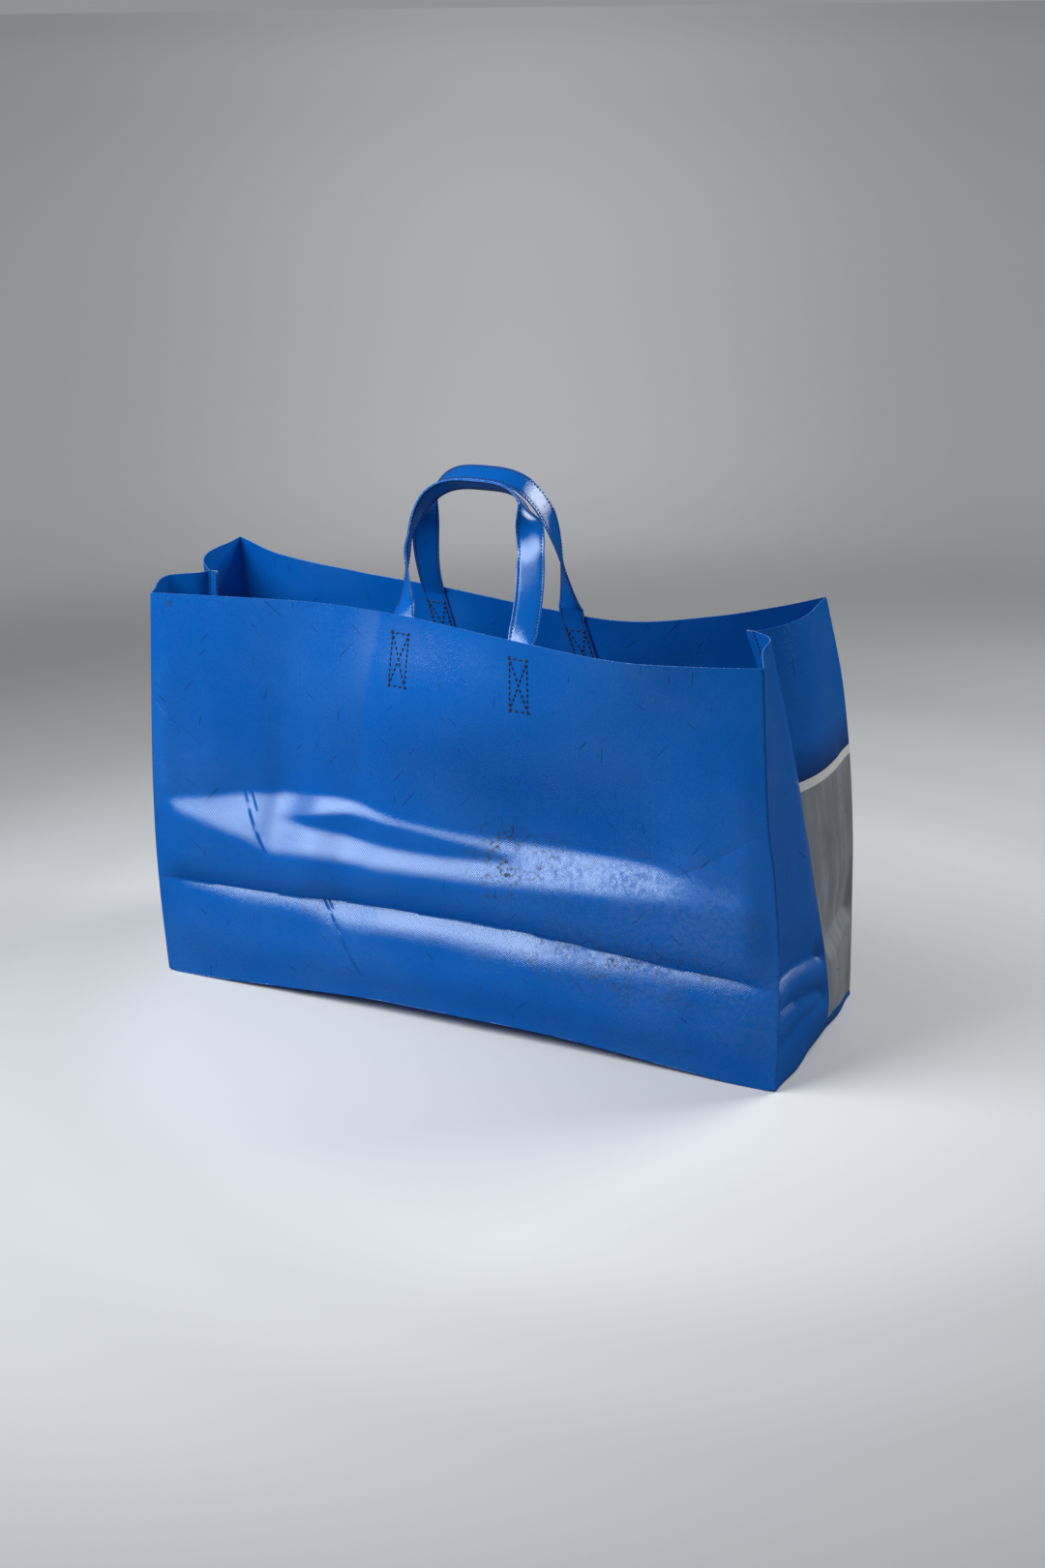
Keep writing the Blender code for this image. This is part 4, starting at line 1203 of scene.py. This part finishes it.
def stitch_tree():
    """Geometry Nodes: a short thread with a sunk end for each stitch along every path of edges."""
    tree = bpy.data.node_groups.new("Stitches", "GeometryNodeTree")
    tree.is_modifier = True
    face = tree.interface
    face.new_socket(name="Geometry", in_out="INPUT", socket_type="NodeSocketGeometry")
    for name, size in (("Stitch", 0.003), ("Gap", 0.0008), ("Radius", 0.0004), ("Wander", 0.08)):
        face.new_socket(name=name, in_out="INPUT", socket_type="NodeSocketFloat").default_value = size
    face.new_socket(name="Thread", in_out="INPUT", socket_type="NodeSocketMaterial")
    face.new_socket(name="Geometry", in_out="OUTPUT", socket_type="NodeSocketGeometry")
    nodes = Nodes(tree)
    given = tree.nodes.new("NodeGroupInput").outputs
    path = nodes.add("GeometryNodeMeshToCurve", {"Mesh": given["Geometry"]})
    spaced = nodes.add(
        "GeometryNodeResampleCurve", {"Curve": path.outputs[0], "Length": given["Stitch"]}, mode="LENGTH")
    half = nodes.times(nodes.maths("SUBTRACT", given["Stitch"], given["Gap"]), 0.5)
    size = nodes.add("ShaderNodeCombineXYZ", {"X": given["Radius"], "Y": given["Radius"], "Z": half})
    ball = nodes.add("GeometryNodeMeshUVSphere", {"Segments": 6, "Rings": 5, "Radius": 1.0})
    shaped = nodes.add("GeometryNodeTransform", {"Geometry": ball.outputs["Mesh"], "Scale": size.outputs[0]})
    end = nodes.add("ShaderNodeCombineXYZ", {"Z": half})
    knot = nodes.add("GeometryNodeMeshUVSphere", {"Segments": 6, "Rings": 4, "Radius": given["Radius"]})
    sunk = nodes.add("GeometryNodeTransform", {
        "Geometry": knot.outputs["Mesh"], "Scale": (1.35, 1.35, 1.0), "Translation": end.outputs[0]})
    whole = nodes.add("GeometryNodeJoinGeometry", {"Geometry": shaped.outputs[0]})
    tree.links.new(sunk.outputs[0], whole.inputs["Geometry"])
    drift = nodes.add("FunctionNodeRandomValue", {"Seed": 3}, data_type="FLOAT_VECTOR")
    tree.links.new(nodes.times(given["Wander"], -1.0), drift.inputs[0])
    tree.links.new(given["Wander"], drift.inputs[1])
    aim = nodes.vector("ADD", nodes.add("GeometryNodeInputTangent", {}).outputs[0], drift.outputs[0])
    turned = nodes.add("FunctionNodeAlignRotationToVector", {"Vector": aim}, axis="Z")
    placed = nodes.add("GeometryNodeInstanceOnPoints", {
        "Points": spaced.outputs[0], "Instance": whole.outputs[0], "Rotation": turned.outputs[0]})
    real = nodes.add("GeometryNodeRealizeInstances", {"Geometry": placed.outputs[0]})
    smooth = nodes.add("GeometryNodeSetShadeSmooth", {"Geometry": real.outputs[0]})
    dyed = nodes.add("GeometryNodeSetMaterial", {"Geometry": smooth.outputs[0], "Material": given["Thread"]})
    nodes.add("NodeGroupOutput", {0: dyed.outputs[0]})
    return tree


def sew(name, paths, material, stitch, radius):
    """Put a row of stitches along each path and return them as one plain mesh piece."""
    verts, edges = [], []
    for path in paths:
        start = len(verts)
        verts += [tuple(point) for point in path]
        edges += [(start + i, start + i + 1) for i in range(len(path) - 1)]
    guide = bpy.data.meshes.new(name)
    guide.from_pydata(verts, edges, [])
    obj = bpy.data.objects.new(name, guide)
    rows = obj.modifiers.new("Stitches", "NODES")
    rows.node_group = bpy.data.node_groups.get("Stitches") or stitch_tree()
    values = {"Stitch": stitch, "Gap": stitch * STITCH_GAP, "Radius": radius, "Thread": material}
    for socket in rows.node_group.interface.items_tree:
        if socket.in_out == "INPUT" and socket.name in values:
            rows[socket.identifier] = values[socket.name]
    make_plain(obj)
    return obj


def box_paths(bag, which):
    """Paths of the sewn boxes at a strap's feet: outside on the panel and inside on the strap."""
    half_w, half_h = bag.box_width / 2, bag.box_height / 2
    corners = ((-half_w, -half_h), (half_w, -half_h), (half_w, half_h), (-half_w, half_h))
    middle = bag.height - bag.box_drop - half_h
    inner_face = bag.sheet + bag.strap_gap + bag.strap_thickness
    share = np.linspace(0.0, 1.0, BOX_STEPS)
    paths = []
    for foot in HANDLES[which]["feet"]:
        for first, last in ((0, 1), (1, 2), (2, 3), (3, 0), (0, 2), (1, 3)):
            x, rise = (mix(a, b, share) for a, b in zip(corners[first], corners[last]))
            point, along, inwards = panel_frame(bag, which, 0.5 + (foot + x) / bag.width, middle + rise)
            paths.append(point - inwards * bag.thread * THREAD_LIFT)
            paths.append(point + inwards * (inner_face + bag.thread * THREAD_LIFT))
    return paths


def strap_row_paths(bag, which):
    """Paths of the stitch rows along both edges of a strap, on both of its faces."""
    centres, widths, tops = strap_stations(bag, which)
    place = bag.strap_width / 2 - bag.row_inset
    height = bag.strap_thickness / 2 - bag.row_groove + bag.thread * GROOVE_LIFT
    return [
        centres + widths * place * side + tops * height * face
        for side in (-1, 1) for face in (-1, 1)
    ]


def seam_thread_paths(bag):
    """Paths of the seam's stitches, on both outer faces of the turned-in edges."""
    upright = int((row_levels(bag.height) >= SEAM_FOOT).sum())
    paths = []
    for side in (-1, 1):
        offset = side * (bag.seam_gap / 2 + bag.sheet + bag.thread * GROOVE_LIFT)
        path, start, turns = seam_strip(bag, offset)
        line = start + turns * bag.seam_edge * SEAM_ROW
        paths += [line[:upright - 2], line[upright + 2:-upright - 2], line[-upright + 2:]]
    return paths


def finish_piece(obj, replaced):
    """Put a piece in the scene, on the bag's one body."""
    if not obj.data.polygons:
        raise RuntimeError(f"{obj.name} has no faces")
    if obj.name not in bpy.context.scene.collection.objects:
        bpy.context.scene.collection.objects.link(obj)
    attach(obj, "root")
    if replaced:
        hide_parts(*replaced)


def make_camera():
    data = bpy.data.cameras.new("photo_camera")
    data.lens = CAMERA_LENS
    data.sensor_width = CAMERA_SENSOR
    data.clip_start = 0.02
    data.clip_end = 200.0
    camera = bpy.data.objects.new("photo_camera", data)
    yaw, pitch = CAMERA_YAW, CAMERA_PITCH
    view = Vector((-math.sin(yaw) * math.cos(pitch), math.cos(yaw) * math.cos(pitch), -math.sin(pitch)))
    level = Vector((math.cos(yaw), math.sin(yaw), 0.0))
    right = level * math.cos(CAMERA_ROLL) + level.cross(view) * math.sin(CAMERA_ROLL)
    turn = Matrix((right, right.cross(view), -view)).transposed().to_4x4()
    camera.matrix_world = Matrix.Translation(CAMERA_PLACE) @ turn
    bpy.context.scene.collection.objects.link(camera)
    bpy.context.scene.camera = camera


def make_softbox(name, azimuth, elevation, distance, size, power, tint):
    """A rectangular lamp that looks at the bag; azimuth is from the front, positive to the right."""
    data = bpy.data.lights.new(name, "AREA")
    data.shape = "RECTANGLE"
    data.size, data.size_y = size
    data.energy = power
    data.color = tint
    lamp = bpy.data.objects.new(name, data)
    turn, rise = math.radians(azimuth), math.radians(elevation)
    away = Vector((math.sin(turn) * math.cos(rise), -math.cos(turn) * math.cos(rise), math.sin(rise)))
    lamp.location = Vector(LAMP_TARGET) + away * distance
    lamp.rotation_mode = "QUATERNION"
    lamp.rotation_quaternion = away.to_track_quat("Z", "Y")
    bpy.context.scene.collection.objects.link(lamp)


def make_floor(colours):
    """A wide pale floor with a painted pool of light in its colour, which turns with distance to the
    backdrop's glowing grey with a painted brighter fan.
    """
    bpy.ops.mesh.primitive_circle_add(
        vertices=96, radius=FLOOR_RADIUS, fill_type="NGON", location=(0, 0, -FLOOR_DROP))
    floor = bpy.context.object
    floor.name = "studio_floor"
    material, nodes, shader = new_material("studio_floor")
    place = nodes.add("ShaderNodeTexCoord", {}).outputs["Object"]
    place = nodes.add("ShaderNodeMapping", {"Vector": place, "Rotation": (0.0, 0.0, -CAMERA_YAW)}).outputs[0]
    # Painted pool of light: the floor's colour is brightest round POOL_PLACE and darker further off
    away = nodes.distance(place, POOL_PLACE)
    near = nodes.maths("DIVIDE", away, POOL_REACH, clamp=True)
    painted_pool = nodes.vector("MULTIPLY", colours.floor, nodes.ramp(near, *POOL_LEVELS))
    for socket, value in (("Base Color", painted_pool), ("Roughness", 0.7), ("Specular IOR Level", 0.15)):
        nodes.fill(shader[socket], value)
    # Painted light on the grey distance: it glows, brighter in a fan along the camera's direction and
    # changing with distance
    split = nodes.split(place)
    ahead = nodes.maths("MAXIMUM", nodes.plus(split["Y"], FAN_BACK), 0.05)
    sideways = nodes.maths("ABSOLUTE", nodes.maths("DIVIDE", split["X"], ahead))
    fan = nodes.ramp(nodes.maths("DIVIDE", sideways, FAN_SPREAD, clamp=True), (0.0, 1.0), (1.0, 0.0))
    far = nodes.maths("POWER", nodes.maths("DIVIDE", away, FAR_REACH, clamp=True), 0.4)
    level = nodes.times(nodes.ramp(far, *FAR_LEVELS), nodes.plus(nodes.times(fan, FAN_GAIN), 1.0))
    glow = nodes.add("ShaderNodeEmission", {"Color": colours.backdrop, "Strength": level})
    share = nodes.remap(away, *GLOW_RANGE, smooth=True)
    principled = material.node_tree.nodes["Principled BSDF"]
    both = nodes.add("ShaderNodeMixShader", {0: share, 1: principled.outputs[0], 2: glow.outputs[0]})
    # Painted shade in reflections: glossy rays see a dim copy of the floor
    dim = nodes.add("ShaderNodeBsdfDiffuse", {"Color": np.array(colours.floor) * 0.08})
    rays = nodes.add("ShaderNodeLightPath", {}).outputs
    mirrored = rays["Is Glossy Ray"]
    seen = nodes.add("ShaderNodeMixShader", {0: mirrored, 1: both.outputs[0], 2: dim.outputs[0]})
    nodes.fill(material.node_tree.nodes["Material Output"].inputs["Surface"], seen.outputs[0])
    floor.data.materials.append(material)


def make_world(colours):
    """Soft light from all round, with the backdrop's grey for the camera."""
    world = bpy.data.worlds.new("studio")
    bpy.context.scene.world = world
    world.use_nodes = True
    world.node_tree.nodes.clear()
    nodes = Nodes(world.node_tree)
    seen, soft, dark = (
        nodes.add("ShaderNodeBackground", {"Color": tint, "Strength": strength}).outputs[0]
        for tint, strength in ((colours.backdrop, 1.0), *WORLD_LIGHT)
    )
    rays = nodes.add("ShaderNodeLightPath", {}).outputs
    lit = nodes.add("ShaderNodeMixShader", {0: rays["Is Glossy Ray"], 1: soft, 2: dark}).outputs[0]
    both = nodes.add("ShaderNodeMixShader", {0: rays["Is Camera Ray"], 1: lit, 2: seen}).outputs[0]
    nodes.add("ShaderNodeOutputWorld", {"Surface": both})


class FrontSheetOperator(bpy.types.Operator):
    """Make the sheet for the front, the bottom and the front halves of the gussets"""

    bl_idname = "carrier_bag.make_front_sheet"
    bl_label = "Make Front Sheet"

    def execute(self, context):
        bag, colours = Bag(context.scene.bag_sizes), context.scene.bag_colours
        outside = (0.0, -bag.depth / 2, bag.height / 8)
        obj = make_sheet(bag, colours, "front", front_patches(bag), bag.seam_gap / 2, outside)
        finish_piece(obj, ["front_sheet"])
        return {"FINISHED"}


class BackSheetOperator(bpy.types.Operator):
    """Make the sheet for the back and the back halves of the gussets"""

    bl_idname = "carrier_bag.make_back_sheet"
    bl_label = "Make Back Sheet"

    def execute(self, context):
        bag, colours = Bag(context.scene.bag_sizes), context.scene.bag_colours
        outside = (0.0, bag.depth / 2, bag.height / 2)
        obj = make_sheet(bag, colours, "back", back_patches(bag), -bag.seam_gap / 2, outside)
        finish_piece(obj, ["back_sheet"])
        return {"FINISHED"}


class StrapsOperator(bpy.types.Operator):
    """Make the two straps"""

    bl_idname = "carrier_bag.make_straps"
    bl_label = "Make Straps"

    def execute(self, context):
        bag = Bag(context.scene.bag_sizes)
        for which in HANDLES:
            finish_piece(make_strap(bag, context.scene.bag_colours, which), [f"{which}_handle"])
        return {"FINISHED"}


class SewingOperator(bpy.types.Operator):
    """Sew the boxes at the straps' feet, the rows along the straps and the seam"""

    bl_idname = "carrier_bag.sew"
    bl_label = "Sew"

    def execute(self, context):
        bag = Bag(context.scene.bag_sizes)
        thread = sewing_thread(context.scene.bag_colours)
        for which in HANDLES:
            lines = box_paths(bag, which)
            boxes = sew(f"{which}_box_stitches", lines, thread, bag.box_stitch, bag.box_thread)
            finish_piece(boxes, [f"{which}_left_box_stitch", f"{which}_right_box_stitch"])
            lines = strap_row_paths(bag, which)
            rows = sew(f"{which}_strap_stitches", lines, thread, bag.stitch, bag.thread)
            finish_piece(rows, [])
        seam = sew("seam_stitches", seam_thread_paths(bag), thread, bag.stitch, bag.thread)
        finish_piece(seam, ["right_seam_thread", "bottom_seam_thread", "left_seam_thread"])
        return {"FINISHED"}


class StageOperator(bpy.types.Operator):
    """Make the floor, the lamps, the world and the camera"""

    bl_idname = "carrier_bag.make_stage"
    bl_label = "Make Stage"

    def execute(self, context):
        make_floor(context.scene.bag_colours)
        make_world(context.scene.bag_colours)
        make_camera()
        for lamp in LAMPS:
            make_softbox(*lamp)
        context.scene.view_settings.view_transform = "Standard"
        return {"FINISHED"}


OPERATORS = (FrontSheetOperator, BackSheetOperator, StrapsOperator, SewingOperator, StageOperator)


class CarrierBagPanel(bpy.types.Panel):
    """The bag's sizes, colours and steps"""

    bl_idname = "VIEW3D_PT_carrier_bag"
    bl_label = "Carrier Bag"
    bl_space_type = "VIEW_3D"
    bl_region_type = "UI"
    bl_category = "Carrier Bag"

    def draw(self, context):
        for group in (context.scene.bag_sizes, context.scene.bag_colours):
            box = self.layout.box()
            for name in group.__annotations__:
                box.prop(group, name)
        for operator in OPERATORS:
            self.layout.operator(operator.bl_idname)


CLASSES = (BagSizes, BagColours, *OPERATORS, CarrierBagPanel)


def register():
    for kind in CLASSES:
        bpy.utils.register_class(kind)
    bpy.types.Scene.bag_sizes = bpy.props.PointerProperty(type=BagSizes)
    bpy.types.Scene.bag_colours = bpy.props.PointerProperty(type=BagColours)


def unregister():
    del bpy.types.Scene.bag_colours
    del bpy.types.Scene.bag_sizes
    for kind in reversed(CLASSES):
        bpy.utils.unregister_class(kind)


def main():
    for obj in list(bpy.context.scene.objects):
        if obj.name in ("Cube", "Light", "Camera"):
            bpy.data.objects.remove(obj)
    register()
    bpy.ops.carrier_bag.make_front_sheet()
    bpy.ops.carrier_bag.make_back_sheet()
    bpy.ops.carrier_bag.make_straps()
    bpy.ops.carrier_bag.sew()
    bpy.ops.carrier_bag.make_stage()


if __name__ == "__main__":
    main()
